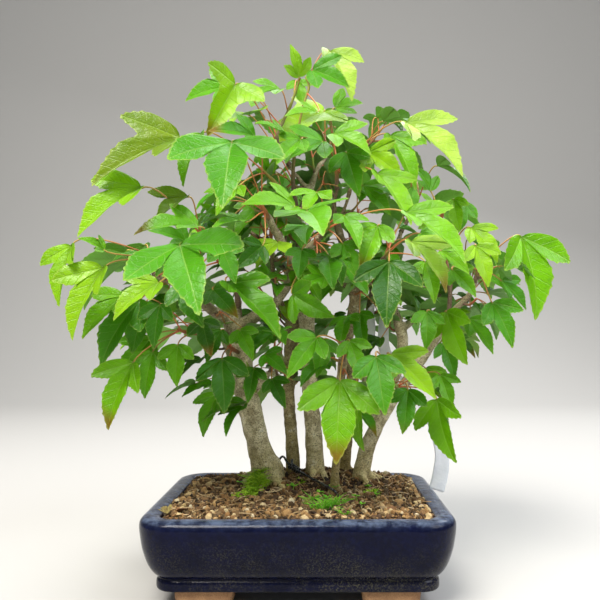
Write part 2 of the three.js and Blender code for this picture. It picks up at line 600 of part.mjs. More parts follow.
// The upper face starts at the stalk with two points and the lower face with one. These three
// are the stalk's last ring, so that leaf and stalk are one body.
function bladeMesh(leaf) {
  const frame = bladeFrame(leaf);
  const half = halfOutline(leaf);
  const neck = (PETIOLE_RADIUS * 0.8) / frame.length;
  const edge = [...half, [0, 1], ...half.reverse().map(([x, y]) => [-x, y])];
  const face = (flat, lift) => flat.map(([x, y]) => bladePoint(leaf, frame, x, y, lift));
  const upper = face([[neck, 0], ...edge, [-neck, 0]], BLADE_THICK / 2);
  const lower = face([[0, 0], ...edge], -BLADE_THICK / 2);
  const under = upper.length;
  const last = under - 1;
  const tip = half.length + 1;
  const faces = [[0, tip, last]];
  for (let i = 1; i < last; i++) {
    const next = i + 1 < last ? under + i + 1 : under;
    faces.push([i, under + i, next], [i, next, i + 1]);
    if (i + 1 < last) {
      faces.push([i < tip ? 0 : last, i, i + 1], [under, under + i + 1, under + i]);
    }
  }
  faces.push([0, under, under + 1], [0, under + 1, 1]);
  return { positions: [...upper, ...lower], faces, base: [under, last, 0] };
}

// The stalk's rings from the stem to the blade. It meets the blade from behind, so where the
// blade hangs under its stalk there is a knee in between.
function stalkRings(leaf) {
  const { positions, base } = bladeMesh(leaf);
  const ring = base.map((i) => positions[i]);
  const centre = ring.reduce((sum, p) => sum.add(p), new THREE.Vector3()).multiplyScalar(1 / 3);
  const out = ring.map((p) => p.clone().sub(centre).normalize());
  const { axis } = bladeFrame(leaf);
  const knee = leaf.base.clone().addScaledVector(axis, -KNEE);
  const along = knee.clone().sub(leaf.root).normalize();
  const between = along.clone().add(axis).normalize();
  const atKnee = new THREE.Quaternion().setFromUnitVectors(axis, between);
  const atRoot = new THREE.Quaternion().setFromUnitVectors(between, along).multiply(atKnee);
  const ringAt = (place, turn) => out.map((o) =>
    place.clone().addScaledVector(o.clone().applyQuaternion(turn), PETIOLE_RADIUS));
  const rings = [ringAt(leaf.root, atRoot)];
  if (axis.dot(along) < 0.5) {
    rings.push(ringAt(knee, atKnee));
  }
  return rings;
}

function blade(leaf) {
  const { positions, faces, base } = bladeMesh(leaf);
  return closedSolid(positions, [...faces, base.toReversed()]);
}

function stalk(leaf) {
  const { positions, base } = bladeMesh(leaf);
  return skin([...stalkRings(leaf), base.map((i) => positions[i])]);
}

function wholeLeaf(leaf) {
  const { positions, faces, base } = bladeMesh(leaf);
  const rings = stalkRings(leaf);
  const rows = [...rings.map((_, r) => [0, 1, 2].map((i) => positions.length + 3 * r + i)), base];
  const sides = [rows[0].toReversed()];
  for (let r = 0; r + 1 < rows.length; r++) {
    for (let i = 0; i < 3; i++) {
      const j = (i + 1) % 3;
      sides.push([rows[r][i], rows[r][j], rows[r + 1][j]],
        [rows[r][i], rows[r + 1][j], rows[r + 1][i]]);
    }
  }
  return closedSolid([...positions, ...rings.flat()], [...faces, ...sides]);
}

function leafFromRow(row, stem) {
  const [at, bx, bz, bd, tx, tz, td, roll = USUAL.roll, fold = USUAL.fold, lobe = USUAL.lobe,
    splay = USUAL.splay] = row;
  const below = placed(...stem[at - 1].slice(0, 3));
  const root = placed(...stem[at].slice(0, 3)).lerp(below, at > 1 ? ROOT_BACK : 0);
  const base = placed(bx, bz, bd);
  const tip = placed(tx, tz, td);
  return { root, base, tip, facing: TOWARDS, roll, fold, lobe, splay };
}

// Draws between 0 and 1, always the same
let state = LEAF_RULE.seed;
function draw(low = 0, high = 1) {
  state = (state * 16807) % 2147483647;
  return low + (high - low) * (state / 2147483647);
}

// A side shoot climbs a little and bears its leaves in pairs, each pair square to the last
function sideShoot(from, heading, length, pairs) {
  const start = placed(...from.slice(0, 3));
  const along = new THREE.Vector3(...heading).normalize();
  const level = new THREE.Vector3(0, 0, 1).cross(along).normalize();
  const cross = along.clone().cross(level);
  const at = (share) => start.clone().addScaledVector(along, length * share)
    .add(new THREE.Vector3(0, 0, length * 0.15 * share * share));
  const places = [at(0)];
  const leaves = [];
  for (let k = 0; k < pairs; k++) {
    const node = at((k + 1) / pairs);
    places.push(node);
    for (const way of [-1, 1]) {
      const turn = (k % 2 ? Math.PI / 2 : 0) + draw(-0.5, 0.5);
      const out = level.clone().multiplyScalar(way * Math.cos(turn));
      out.addScaledVector(cross, way * Math.sin(turn));
      const stalkWay = along.clone().multiplyScalar(0.75).addScaledVector(out, LEAF_RULE.spread)
        .add(new THREE.Vector3(0, 0, 0.25)).normalize();
      const base = node.clone().addScaledVector(stalkWay, draw(...LEAF_RULE.stalk));
      const hang = new THREE.Vector3(stalkWay.x, stalkWay.y, 0).normalize();
      hang.z = -draw(...LEAF_RULE.droop);
      const size = draw(...LEAF_RULE.length) * (1 - 0.12 * k);
      const tip = base.clone().addScaledVector(hang.normalize(), size);
      const facing = new THREE.Vector3(stalkWay.x, stalkWay.y, 1.3).normalize();
      const roll = draw(-LEAF_RULE.roll, LEAF_RULE.roll);
      const fold = draw(0.15, 0.5);
      const lobe = draw(0.52, 0.68);
      const root = node.clone().lerp(places[k], k > 0 ? ROOT_BACK : 0);
      leaves.push({ root, base, tip, facing, roll, fold, lobe, splay: draw(0.78, 1) });
    }
  }
  const radii = places.map((_, k) => from[3] * (1 - 0.6 * (k / pairs)));
  return { stem: limb(places, radii, 4), leaves };
}

// A leaf slid along the line of sight and turned
function shifted(leaf, slide, turn) {
  const eye = new THREE.Vector3(EYE.x, -EYE.distance, EYE.z);
  const k = 1 + slide / (leaf.base.y + EYE.distance);
  const slid = (p) => eye.clone().add(p.clone().sub(eye).multiplyScalar(k));
  return { ...leaf, base: slid(leaf.base), tip: slid(leaf.tip), roll: leaf.roll + turn };
}

// Solids already in place, with their boxes
const taken = [];
function take(owner, solid, kind = "stem") {
  taken.push({ owner, kind, solid, box: solid.boundingBox() });
  return solid;
}

function apart(a, b) {
  return [0, 1, 2].some((i) => a.min[i] > b.max[i] || b.min[i] > a.max[i]);
}

function crosses(solid, matters) {
  const box = solid.boundingBox();
  return taken.some((other) => matters(other) && !apart(box, other.box)
    && solid.intersect(other.solid).volume() > 1e-4);
}

// A blade keeps clear of everything, and a stalk of all but its own shoot's stem and stalks
function fits(owner, leaf) {
  return !crosses(blade(leaf), () => true)
    && !crosses(stalk(leaf), (other) => other.owner !== owner || other.kind === "blade");
}

// Label strip: a crumpled loop round a limb, then a long tail that hangs outside the pot
const LABEL_ROUTE = [
  [49, 166, 45, 0.1], [50, 179, 45.5, 0.4], [52, 191, 46, 0.9], [57, 199, 48, 1.5],
  [62, 192, 52, 2], [61, 178, 52, 2.2],
  [62, 164, 49, 2.2], [69, 151, 49, 1.9], [80, 134, 50, 1.6], [92, 117, 56, 1], [101, 100, 60, 0.5],
  [104, 86, 60, 0.2], [103, 72, 56, 0], [100, 60, 50, -0.2],
];

function label() {
  const places = LABEL_ROUTE.map((row) => placed(...row.slice(0, 3)));
  const rings = places.map((p, i) => {
    const before = places[Math.max(i - 1, 0)];
    const after = places[Math.min(i + 1, places.length - 1)];
    const along = after.clone().sub(before).normalize();
    const twist = LABEL_ROUTE[i][3];
    const wide = new THREE.Vector3(Math.cos(twist), Math.sin(twist), 0);
    wide.addScaledVector(along, -wide.dot(along)).normalize();
    const thin = along.clone().cross(wide);
    return [[-1, -1], [1, -1], [1, 1], [-1, 1]].map(([w, t]) => p.clone()
      .addScaledVector(wide, w * LABEL.width / 2)
      .addScaledVector(thin, t * LABEL.thick / 2));
  });
  // Both faces of a twisted strip are split alike, so that it keeps its thickness
  return skin(rings.slice(0, LABEL.bend + 1), [2]).add(skin(rings.slice(LABEL.bend), [2]));
}

// The wire that ties the roots down: up behind the left stem, a twisted knot, then taut to the front
const WIRE_ROUTE = [[-23, 66, 58, 0.9], [-14.2, 84.3, 41, 0.9],
  [-9.5, 80.5, 34, 0.9], [-6.5, 77.8, 31, 2.4], [-2.2, 74.8, 28, 2.4],
  [1, 72.8, 25, 0.9], [12, 67, 12, 0.9], [20, 62.6, -1, 0.9], [25.8, 59, -5, 0.9],
  [28.5, 52, -7, 0.9]];

// The assembly
const materials = {
  bark: new THREE.MeshStandardMaterial({ color: 0x8d8371, roughness: 0.85 }),
  glaze: new THREE.MeshStandardMaterial({ color: 0x161d40, roughness: 0.15 }),
  soil: new THREE.MeshStandardMaterial({ color: 0x8f6340, roughness: 0.95 }),
  leaf: new THREE.MeshStandardMaterial({ color: 0x4d9a1e, roughness: 0.45 }),
  wire: new THREE.MeshStandardMaterial({ color: 0x17181a, roughness: 0.4, metalness: 0.6 }),
  label: new THREE.MeshStandardMaterial({ color: 0xe4e6ea, roughness: 0.4 }),
  screen: new THREE.MeshStandardMaterial({ color: 0x1d1f20, roughness: 0.6 }),
};

const pieces = [];
function addPart(name, solid, material) {
  pieces.push({ name, solid, material });
}

// Stems, and the same limbs a little thicker, to cut their clearances
const clearance = [];
const sidesOf = (index) => (index === 0 ? 7 : 5);
for (const [name, limbs] of Object.entries(STEMS)) {
  const solids = limbs.map((rows, index) => limbFromRows(rows, sidesOf(index)));
  solids.push(...roots(ROOTS[name], 0));
  solids.forEach((solid) => take(name, solid));
  addPart(name, union(solids), materials.bark);
  const thicker = limbs.map((rows, index) => limbFromRows(rows, sidesOf(index), GAP));
  clearance.push(...thicker, ...roots(ROOTS[name], GAP));
}
take("tie_wire", limbFromRows(WIRE_ROUTE, 5));
addPart("tie_wire", limbFromRows(WIRE_ROUTE, 5), materials.wire);
clearance.push(limbFromRows(WIRE_ROUTE, 5, GAP));
take("label_strip", label());
addPart("label_strip", label(), materials.label);

addPart("pot", pot(), materials.glaze);
let ground = soil();
for (const solid of clearance) {
  ground = ground.subtract(solid);
}
for (const sx of [-1, 1]) {
  const x = sx * DRAIN.offset;
  addPart(sx < 0 ? "drain_screen_left" : "drain_screen_right", screen(x), materials.screen);
  ground = ground.subtract(screenRecess(x));
}
addPart("soil", ground, materials.soil);

const shoots = Object.entries(SHOOTS).map(([name, { stem, leaves }]) =>
  ({ name, stem: limbFromRows(stem, 4), leaves: leaves.map((row) => leafFromRow(row, stem)) }));
for (const [name, [from, heading, length, pairs]] of Object.entries(SIDE_SHOOTS)) {
  shoots.push({ name, ...sideShoot(from, heading, length, pairs) });
}
shoots.forEach(({ name, stem }) => take(name, stem));

for (const { name, stem, leaves } of shoots) {
  let body = stem;
  for (const leaf of leaves) {
    const choices = SHIFTS.map(([slide, turn]) => shifted(leaf, slide, turn));
    const fitted = choices.find((moved) => fits(name, moved));
    if (fitted) {
      take(name, blade(fitted), "blade");
      take(name, stalk(fitted), "stalk");
      body = body.add(wholeLeaf(fitted));
    }
  }
  for (const solid of clearance) {
    if (!apart(body.boundingBox(), solid.boundingBox())) {
      body = body.subtract(solid);
    }
  }
  addPart(name, body, materials.leaf);
}

// The origin is the middle of the whole plant's footprint, on the ground
const boxes = pieces.map(({ solid }) => solid.boundingBox());
const middle = [0, 1].map((i) =>
  (Math.min(...boxes.map((box) => box.min[i])) + Math.max(...boxes.map((box) => box.max[i]))) / 2);

const bonsai = new THREE.Group();
for (const { name, solid, material } of pieces) {
  const mesh = new THREE.Mesh(geometryOf(solid.translate([-middle[0], -middle[1], 0])), material);
  mesh.name = name;
  bonsai.add(mesh);
}

export default bonsai;
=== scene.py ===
# %% [markdown]
# # A trident maple bonsai
#
# This lesson dresses the solid model of a small potted tree: six stems in a navy glazed pot,
# with soil, moss, a tie wire, a label strip and nearly four hundred three-lobed leaves.
# Everything is in metres in the model's own frame. The plant was measured in millimetres from
# one standpoint in front of it, so the rows of places below are written that way too.

import math

import bmesh
import bpy
import numpy as np
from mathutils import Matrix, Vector
from mathutils.kdtree import KDTree


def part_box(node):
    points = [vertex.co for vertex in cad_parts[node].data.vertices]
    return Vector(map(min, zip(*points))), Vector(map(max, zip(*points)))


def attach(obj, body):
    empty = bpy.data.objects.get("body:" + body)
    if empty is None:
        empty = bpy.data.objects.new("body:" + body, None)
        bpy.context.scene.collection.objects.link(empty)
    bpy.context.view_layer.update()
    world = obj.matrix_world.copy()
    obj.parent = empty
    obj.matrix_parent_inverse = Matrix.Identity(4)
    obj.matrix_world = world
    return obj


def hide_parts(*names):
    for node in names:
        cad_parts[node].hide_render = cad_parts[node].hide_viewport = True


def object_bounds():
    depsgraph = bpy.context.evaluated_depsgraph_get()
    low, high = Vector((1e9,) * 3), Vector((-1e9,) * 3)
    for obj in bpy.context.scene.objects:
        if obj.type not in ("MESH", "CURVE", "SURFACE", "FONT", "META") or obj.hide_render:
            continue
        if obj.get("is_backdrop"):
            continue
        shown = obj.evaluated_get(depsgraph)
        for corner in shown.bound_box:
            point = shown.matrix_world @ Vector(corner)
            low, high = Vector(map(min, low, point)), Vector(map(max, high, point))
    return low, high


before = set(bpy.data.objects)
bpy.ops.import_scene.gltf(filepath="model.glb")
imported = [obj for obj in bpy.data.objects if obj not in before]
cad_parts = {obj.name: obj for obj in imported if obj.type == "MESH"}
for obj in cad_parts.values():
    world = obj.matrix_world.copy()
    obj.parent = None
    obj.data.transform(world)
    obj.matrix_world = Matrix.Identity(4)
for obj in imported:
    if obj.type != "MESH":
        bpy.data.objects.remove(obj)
SOLID_BOX = [list(corner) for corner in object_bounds()]
MM = 0.001

pot_low, pot_high = (np.array(corner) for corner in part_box("pot"))
ORIGIN = (pot_low + pot_high) / 2 / MM
ORIGIN[2] = 0
print("nodes:", len(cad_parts), "pot middle, mm:", ORIGIN.round(1))

# %% [markdown]
# ## The standpoint
#
# A plant is easier to measure as it is seen than along its axes. Each place is written as where
# it appears on the upright plane through the middle of the pot, followed by its real depth
# behind that plane. One function turns such a row into a point.

# %% Places as seen from the front
EYE = {"x": 13, "z": 170, "distance": 478}


def placed(x, z, depth):
    k = (depth + EYE["distance"]) / EYE["distance"]
    return np.array([EYE["x"] + (x - EYE["x"]) * k, depth, EYE["z"] + (z - EYE["z"]) * k])


def unit(vector):
    return np.asarray(vector, float) / np.linalg.norm(vector)


print("the front rim is at", placed(0, 58, -80).round(1))

# %% [markdown]
# ## Camera
#
# The photograph was taken level with the middle of the crown, about half a metre away, with the
# pot's feet at the lower edge. A shifted lens keeps the camera level, so that the stems and the
# sides of the pot stay upright, as they do in the photograph.

# %% Camera
LENS = {"length": 39, "sensor": 36, "shift_x": -0.03, "shift_y": 0.068}
camera_data = bpy.data.cameras.new("camera")
camera_data.lens = LENS["length"]
camera_data.sensor_width = LENS["sensor"]
camera_data.shift_x = LENS["shift_x"]
camera_data.shift_y = LENS["shift_y"]
camera_data.clip_start = 0.01
camera = bpy.data.objects.new("camera", camera_data)
standpoint = np.array([EYE["x"], -EYE["distance"], EYE["z"]]) + ORIGIN
camera.location = standpoint * MM
camera.rotation_euler = (math.pi / 2, 0, 0)
bpy.context.scene.collection.objects.link(camera)
bpy.context.scene.camera = camera
print("camera at", [round(v, 3) for v in camera.location])

# %% [markdown]
# ## Nodes and colours
#
# Colours are picked as sRGB hex values, as a paint chart gives them, and one function turns them
# into the linear values that the shader works in. One more function adds a node with its
# settings and links. A finish is built up as a painter does it: a base colour, then coats that
# cover it in part.

# %% Colour and node helpers
def linear(hex_colour):
    """The linear colour of an sRGB hex value, with an alpha of one"""
    values = [int(hex_colour[i : i + 2], 16) / 255 for i in (1, 3, 5)]
    bent = [v / 12.92 if v <= 0.04045 else ((v + 0.055) / 1.055) ** 2.4 for v in values]
    return (*bent, 1.0)


def add(tree, kind, *values, stops=(), **named):
    """A node, whose kind is what follows ShaderNode in Blender's own name

    Values without a name fill the inputs in their order. A name in small letters is a setting,
    any other is an input. A node given as a value is linked by its first output, and a hex value
    is turned to linear. Stops are those of a colour ramp: a place and a colour or a number.
    """
    node = tree.nodes.new("ShaderNode" + kind)
    for name in filter(str.islower, named):
        setattr(node, name, named[name])
    given = list(zip([socket for socket in node.inputs if socket.enabled], values))
    given += [(node.inputs[name.replace("_", " ")], named[name]) for name in named if not name.islower()]
    for socket, value in given:
        if isinstance(value, bpy.types.Node):
            value = next(output for output in value.outputs if output.enabled)
        if isinstance(value, bpy.types.NodeSocket):
            tree.links.new(value, socket)
        else:
            socket.default_value = linear(value) if isinstance(value, str) else value
    elements = node.color_ramp.elements if stops else []
    for _ in stops[2:]:
        elements.new(0.5)
    for element, (place, colour) in zip(elements, stops):
        element.position = place
        element.color = linear(colour) if isinstance(colour, str) else (colour,) * 3 + (1,)
    return node


def new_material(name):
    material = bpy.data.materials.new(name)
    material.use_nodes = True
    tree = material.node_tree
    tree.nodes.clear()
    return material, tree


def painted(tree, base, *coats):
    """A base colour with coats over it: a value, the stops that it goes through, a colour"""
    for share, stops, over in coats:
        if stops:
            share = add(tree, "ValToRGB", share, stops=stops)
        base = add(tree, "Mix", share, base, over, data_type="RGBA")
    return base


print("mid green in linear light:", [round(v, 3) for v in linear("#3f9a1e")])

# %% [markdown]
# ## Meshes
#
# Every shape here is computed as lists of points in millimetres and of faces. One function
# makes the object, gives each face its material, and makes it ride with the plant.

# %% Make a piece from points and faces
def make_piece(name, points, faces, materials, slots=None, smooth=True, layers=None, uv=None):
    mesh = bpy.data.meshes.new(name)
    moved = (np.asarray(points, float) + ORIGIN) * MM
    mesh.from_pydata(moved.tolist(), [], [list(map(int, face)) for face in faces])
    for material in materials:
        mesh.materials.append(material)
    if slots is not None:
        mesh.polygons.foreach_set("material_index", np.asarray(slots, np.int32))
    mesh.polygons.foreach_set("use_smooth", np.full(len(mesh.polygons), smooth))
    for layer, values in (layers or {}).items():
        made = mesh.attributes.new(layer, "FLOAT_COLOR", "POINT")
        made.data.foreach_set("color", np.asarray(values, np.float32).ravel())
    if uv is not None:
        corners = np.empty(len(mesh.loops), np.int32)
        mesh.loops.foreach_get("vertex_index", corners)
        places = np.asarray(uv, np.float32)[corners]
        mesh.uv_layers.new(name="flat").uv.foreach_set("vector", places.ravel())
    mesh.update()
    piece = bpy.data.objects.new(name, mesh)
    bpy.context.scene.collection.objects.link(piece)
    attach(piece, "root")
    return piece


print("one millimetre is", MM, "m")

# %% [markdown]
# A shape of many parts is collected first: its points and faces, a material number for each face,
# and for each point three tones and a flat place, which the materials read. One object with many
# leaves is quicker than many objects.

# %% Collect many parts
class Build:
    """Collects points and faces with a material number for each face"""

    def __init__(self):
        self.points = []
        self.faces = []
        self.slots = []
        self.tones = []
        self.flat = []
        self.count = 0

    def add(self, points, faces, slot=0, tone=(0.5, 0.5, 0.5, 1), flat=None):
        points = np.asarray(points, float)
        self.points.append(points)
        self.faces.extend([[int(i) + self.count for i in face] for face in faces])
        self.slots.extend([slot] * len(faces))
        tones = np.asarray(tone, float)
        self.tones.append(tones if tones.ndim == 2 else np.tile(tones, (len(points), 1)))
        self.flat.append(np.zeros((len(points), 2)) if flat is None else np.asarray(flat, float))
        self.count += len(points)

    def piece(self, name, materials, smooth=True):
        return make_piece(
            name, np.vstack(self.points), self.faces, materials, self.slots, smooth,
            {"tone": np.vstack(self.tones)}, np.vstack(self.flat),
        )


print("a new build holds", Build().count, "points")

# %% [markdown]
# Limbs, twigs, stalks, roots and wire are tubes along smooth paths. Each ring of a tube is turned
# as little as it can be from the ring before, so that no tube twists.

# %% Tubes and smooth paths
def tube(places, radii, sides=8, round_end=True):
    places = np.asarray(places, float)
    radii = np.broadcast_to(np.asarray(radii, float), (len(places),))
    along = np.gradient(places, axis=0)
    along /= np.linalg.norm(along, axis=1, keepdims=True)
    across = unit(np.cross([0.31, 0.83, 0.47], along[0]))
    turns = np.arange(sides) / sides * 2 * math.pi
    points = []
    for place, radius, way in zip(places, radii, along):
        across = unit(across - way * (across @ way))
        other = np.cross(way, across)
        points.append(place + radius * (np.outer(np.cos(turns), across) + np.outer(np.sin(turns), other)))
    points = np.vstack(points)
    faces = []
    for ring in range(len(places) - 1):
        for i in range(sides):
            a, b = ring * sides + i, ring * sides + (i + 1) % sides
            faces.append([a, b, b + sides, a + sides])
    reach = radii[-1] * (0.8 if round_end else 0)
    points = np.vstack([points, places[0], places[-1] + along[-1] * reach])
    last = (len(places) - 1) * sides
    for i in range(sides):
        j = (i + 1) % sides
        faces.append([len(points) - 2, j, i])
        faces.append([len(points) - 1, last + i, last + j])
    return points, faces


def smooth_path(places, radii=None, step=4.0):
    """A smooth path through the places, with a point about every step millimetres"""
    rows = np.asarray(places, float)
    if radii is not None:
        rows = np.column_stack([rows, np.asarray(radii, float)])
    ends = np.vstack([2 * rows[0] - rows[1], rows, 2 * rows[-1] - rows[-2]])
    path = []
    for i in range(1, len(ends) - 2):
        p0, p1, p2, p3 = ends[i - 1 : i + 3]
        count = max(2, int(np.linalg.norm((p2 - p1)[:3]) / step))
        for t in np.arange(count) / count:
            path.append(
                0.5 * (2 * p1 + (p2 - p0) * t + (2 * p0 - 5 * p1 + 4 * p2 - p3) * t**2
                       + (3 * p1 - p0 - 3 * p2 + p3) * t**3)
            )
    path.append(rows[-1])
    path = np.array(path)
    return (path[:, :3], path[:, 3]) if radii is not None else path


print("a bend of three places has", len(smooth_path([[0, 0, 0], [20, 0, 0], [20, 20, 0]])), "points")

# %% [markdown]
# ## Floor and light
#
# A pale sheet of paper that curves up behind the plant is the plainest studio. The light is a
# large soft box high on the left, a weaker one on the right and one behind the crown, because a
# thin leaf shows its fresh green only when some light comes through it.

# %% Floor, backdrop and lamps
paper, tree = new_material("pale_paper")
shader = add(tree, "BsdfPrincipled", Base_Color="#b3b2af", Roughness=0.9)
add(tree, "OutputMaterial", shader)

sweep = [(-3.0, 0.0)] + [
    (1.2 + 0.8 * math.sin(a), 0.8 - 0.8 * math.cos(a)) for a in np.linspace(0, math.pi / 2, 16)
] + [(2.0, 3.5)]
sweep_points = [(x, y, z) for y, z in sweep for x in (-4.0, 4.0)]
sweep_faces = [(2 * i, 2 * i + 1, 2 * i + 3, 2 * i + 2) for i in range(len(sweep) - 1)]
backdrop_mesh = bpy.data.meshes.new("backdrop")
backdrop_mesh.from_pydata(sweep_points, [], sweep_faces)
backdrop_mesh.materials.append(paper)
backdrop_mesh.polygons.foreach_set("use_smooth", [True] * len(sweep_faces))
backdrop = bpy.data.objects.new("backdrop", backdrop_mesh)
bpy.context.scene.collection.objects.link(backdrop)
backdrop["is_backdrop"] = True


def soft_box(name, place, size, power, colour="#ffffff"):
    data = bpy.data.lights.new(name, "AREA")
    data.size = size
    data.energy = power
    data.color = linear(colour)[:3]
    lamp = bpy.data.objects.new(name, data)
    lamp.location = place
    aim = Vector((0.0, 0.0, 0.2)) - Vector(place)
    lamp.rotation_euler = aim.to_track_quat("-Z", "Y").to_euler()
    bpy.context.scene.collection.objects.link(lamp)


soft_box("key_light", (-0.5, -0.8, 1.6), 0.9, 54, "#fffaf2")
soft_box("fill_light", (1.1, -0.6, 1.2), 1.0, 20, "#f2f6ff")
soft_box("back_light", (0.4, 0.9, 1.5), 1.4, 30)
world = bpy.data.worlds.new("world")
world.use_nodes = True
world.node_tree.nodes["Background"].inputs["Color"].default_value = linear("#e8ecf2")
world.node_tree.nodes["Background"].inputs["Strength"].default_value = 0.3
bpy.context.scene.world = world
bpy.context.scene.view_settings.view_transform = "Standard"
print("three lamps and a paper sweep")

# %% [markdown]
# ## The pot
#
# A bonsai pot of this kind is pressed stoneware: walls that lean out to a soft rolled lip, a
# step near the foot, and four feet that are wiped clean of glaze before firing. The walls are
# one profile swept round a rectangle with round corners, so the same function gives every ring.
# A lathe can't do that, because the pot isn't round.

# %% Rings of the pot
POT = {"width": 205, "depth": 160, "corner": 24, "tightest": 5}
CORNER_STEPS = 10
SIDE_STEPS = 8


def rounded_ring(inset, z):
    r = max(POT["corner"] - inset, POT["tightest"])
    x = POT["width"] / 2 - inset - r
    y = POT["depth"] / 2 - inset - r
    ring = []
    middles = [(x, y), (-x, y), (-x, -y), (x, -y)]
    for quarter, (mx, my) in enumerate(middles):
        for step in range(CORNER_STEPS + 1):
            turn = (quarter + step / CORNER_STEPS) * math.pi / 2
            ring.append((mx + r * math.cos(turn), my + r * math.sin(turn), z))
        nx, ny = middles[(quarter + 1) % 4]
        turn = (quarter + 1) * math.pi / 2
        start = np.array([mx + r * math.cos(turn), my + r * math.sin(turn), z])
        end = np.array([nx + r * math.cos(turn), ny + r * math.sin(turn), z])
        ring.extend(tuple(start + (end - start) * s / SIDE_STEPS) for s in range(1, SIDE_STEPS))
    return ring


def skin(rings):
    """Faces from ring to ring of points, and one over the first and the last ring"""
    sides = len(rings[0])
    faces = []
    for r in range(len(rings) - 1):
        for i in range(sides):
            a, b = r * sides + i, r * sides + (i + 1) % sides
            faces.append((a, b, b + sides, a + sides))
    points = [point for ring in rings for point in ring]
    faces.append(tuple(reversed(range(sides))))
    faces.append(tuple(range(len(points) - sides, len(points))))
    return points, faces


print("points in a ring:", len(rounded_ring(0, 0)))

# %% [markdown]
# The profile runs up the outside, over the lip and down the inside. Every corner of it is
# rounded, because glaze and a wet sponge leave no sharp edge on a fired pot.

# %% Walls of the pot
OUTSIDE = [
    [13, 11], [11.4, 11.6], [10.9, 13], [10.9, 16], [11.4, 17.6], [12.2, 18.7], [11.6, 19.9],
    [9.6, 21.2], [7.2, 24], [5, 28], [3.2, 33], [1.8, 38], [0.8, 44], [0.2, 49], [0.1, 52.5],
    [0.6, 54.6], [1.7, 56.3], [3.4, 57.4], [5.6, 57.9], [8, 58],
]
INSIDE = [
    [10.5, 57.9], [12.3, 57.4], [13.4, 56.4], [13.9, 55], [13.7, 53], [12.2, 50.8], [10.6, 48.5],
    [10.3, 44], [11, 36], [13.2, 27], [17, 20.5], [21, 17.7], [24, 17],
]
DRAIN = {"offset": 45, "radius": 7}
FOOT = {"width": 38, "depth": 24, "x": 60, "y": 54}


def pot_walls():
    profile = smooth_path([[i, z, 0] for i, z in OUTSIDE + INSIDE], step=2.5)
    return skin([rounded_ring(inset, z) for inset, z, _ in profile])


points, faces = pot_walls()
pot = make_piece("glazed_pot", points, faces, [])
for sx in (-1, 1):
    drill_points, drill_faces = tube([(sx * DRAIN["offset"], 0, 5), (sx * DRAIN["offset"], 0, 25)],
                                     DRAIN["radius"], 32, round_end=False)
    drill = make_piece("drill", drill_points, drill_faces, [])
    cut = pot.modifiers.new("hole", "BOOLEAN")
    cut.operation = "DIFFERENCE"
    cut.object = drill
    bpy.context.view_layer.objects.active = pot
    bpy.ops.object.modifier_apply(modifier="hole")
    bpy.data.objects.remove(drill)
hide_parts("pot")
print("pot walls:", len(pot.data.polygons), "faces")

# %% [markdown]
# The feet are plain blocks with softened edges. Each is a rounded outline that narrows a little
# at the ground, bevelled below, where a sharp arris would chip.

# %% Feet of the pot
def foot_outline(x, y, grow, z, corner=5.0, steps=5):
    w = FOOT["width"] / 2 + grow
    d = FOOT["depth"] / 2 + grow
    ring = []
    for quarter, (sx, sy) in enumerate(((1, 1), (-1, 1), (-1, -1), (1, -1))):
        for step in range(steps + 1):
            turn = (quarter + step / steps) * math.pi / 2
            ring.append((x + sx * (w - corner) + corner * math.cos(turn),
                         y + sy * (d - corner) + corner * math.sin(turn), z))
    return ring


feet = Build()
levels = [(-2.2, 0), (-1.4, 0.3), (-1.1, 1.0), (-0.8, 2.5), (-0.2, 6), (0, 10), (0.3, 12.5)]
for sx in (-1, 1):
    for sy in (-1, 1):
        rings = [foot_outline(sx * FOOT["x"], sy * FOOT["y"], grow, z) for grow, z in levels]
        feet.add(*skin(rings))
print("feet:", len(feet.faces), "faces")

# %% [markdown]
# ### Glaze
#
# The glaze is a cobalt and iron stoneware glaze, almost black where it is thick and thinner and
# greyer on the lip, where it runs off the edge in the kiln. That paler lip colour is also a painted
# highlight along the rounded edge. It is glass, so it reflects like glass, with an index of 1.5 and
# little roughness. Fine pin holes, a slow ripple and a bloom of dust low on the walls break the
# reflection up.

# %% Glaze
def object_place(tree):
    """The place on the object in millimetres, so that a scale of 0.5 repeats every 2 mm"""
    metres = add(tree, "TexCoord").outputs["Object"]
    return add(tree, "VectorMath", metres, 1 / MM, operation="SCALE")


def bumped(tree, heights):
    """Bumps over one another: each a height value, its distance in millimetres and strength"""
    normal = None
    for value, distance, strength in heights:
        bump = add(tree, "Bump", Strength=strength, Distance=distance * MM, Height=value)
        if normal is not None:
            tree.links.new(normal, bump.inputs["Normal"])
        normal = bump.outputs["Normal"]
    return normal


glaze, tree = new_material("cobalt_stoneware_glaze")
place = object_place(tree)
height = add(tree, "SeparateXYZ", place).outputs["Z"]
ripple = add(tree, "TexNoise", place, Scale=0.05, Detail=3)
flow = add(tree, "TexNoise", place, Scale=0.35, Detail=5, Roughness=0.65)
pits = add(tree, "TexVoronoi", place, Scale=0.55)
pit_marks = add(tree, "ValToRGB", pits, stops=[(0, 0), (0.09, 0), (0.14, 1)])
# The paler lip colour is thinner glaze and also a painted highlight along the rounded edge.
run_down = add(tree, "Math", flow, 3, operation="MULTIPLY")
lip_height = add(tree, "MapRange", add(tree, "Math", height, run_down), 54, 58.6)
lip_pale_and_highlight = add(tree, "ValToRGB", lip_height, stops=[(0, 0), (0.6, 0.12), (1, 0.85)])
streaks = add(tree, "TexNoise", place, Scale=0.12, Detail=6, Roughness=0.7)
patches = add(tree, "ValToRGB", streaks, stops=[(0.4, 0.15), (0.62, 1)])
lip = add(tree, "Math", lip_pale_and_highlight, patches, operation="MULTIPLY")
dust_height = add(tree, "MapRange", height, 50, 20)
specks = add(tree, "TexNoise", place, Scale=0.9, Detail=6, Roughness=0.75)
cloud = add(tree, "TexNoise", place, Scale=0.03, Detail=3)
clouds = add(tree, "ValToRGB", cloud, stops=[(0.42, 0.1), (0.58, 1)])
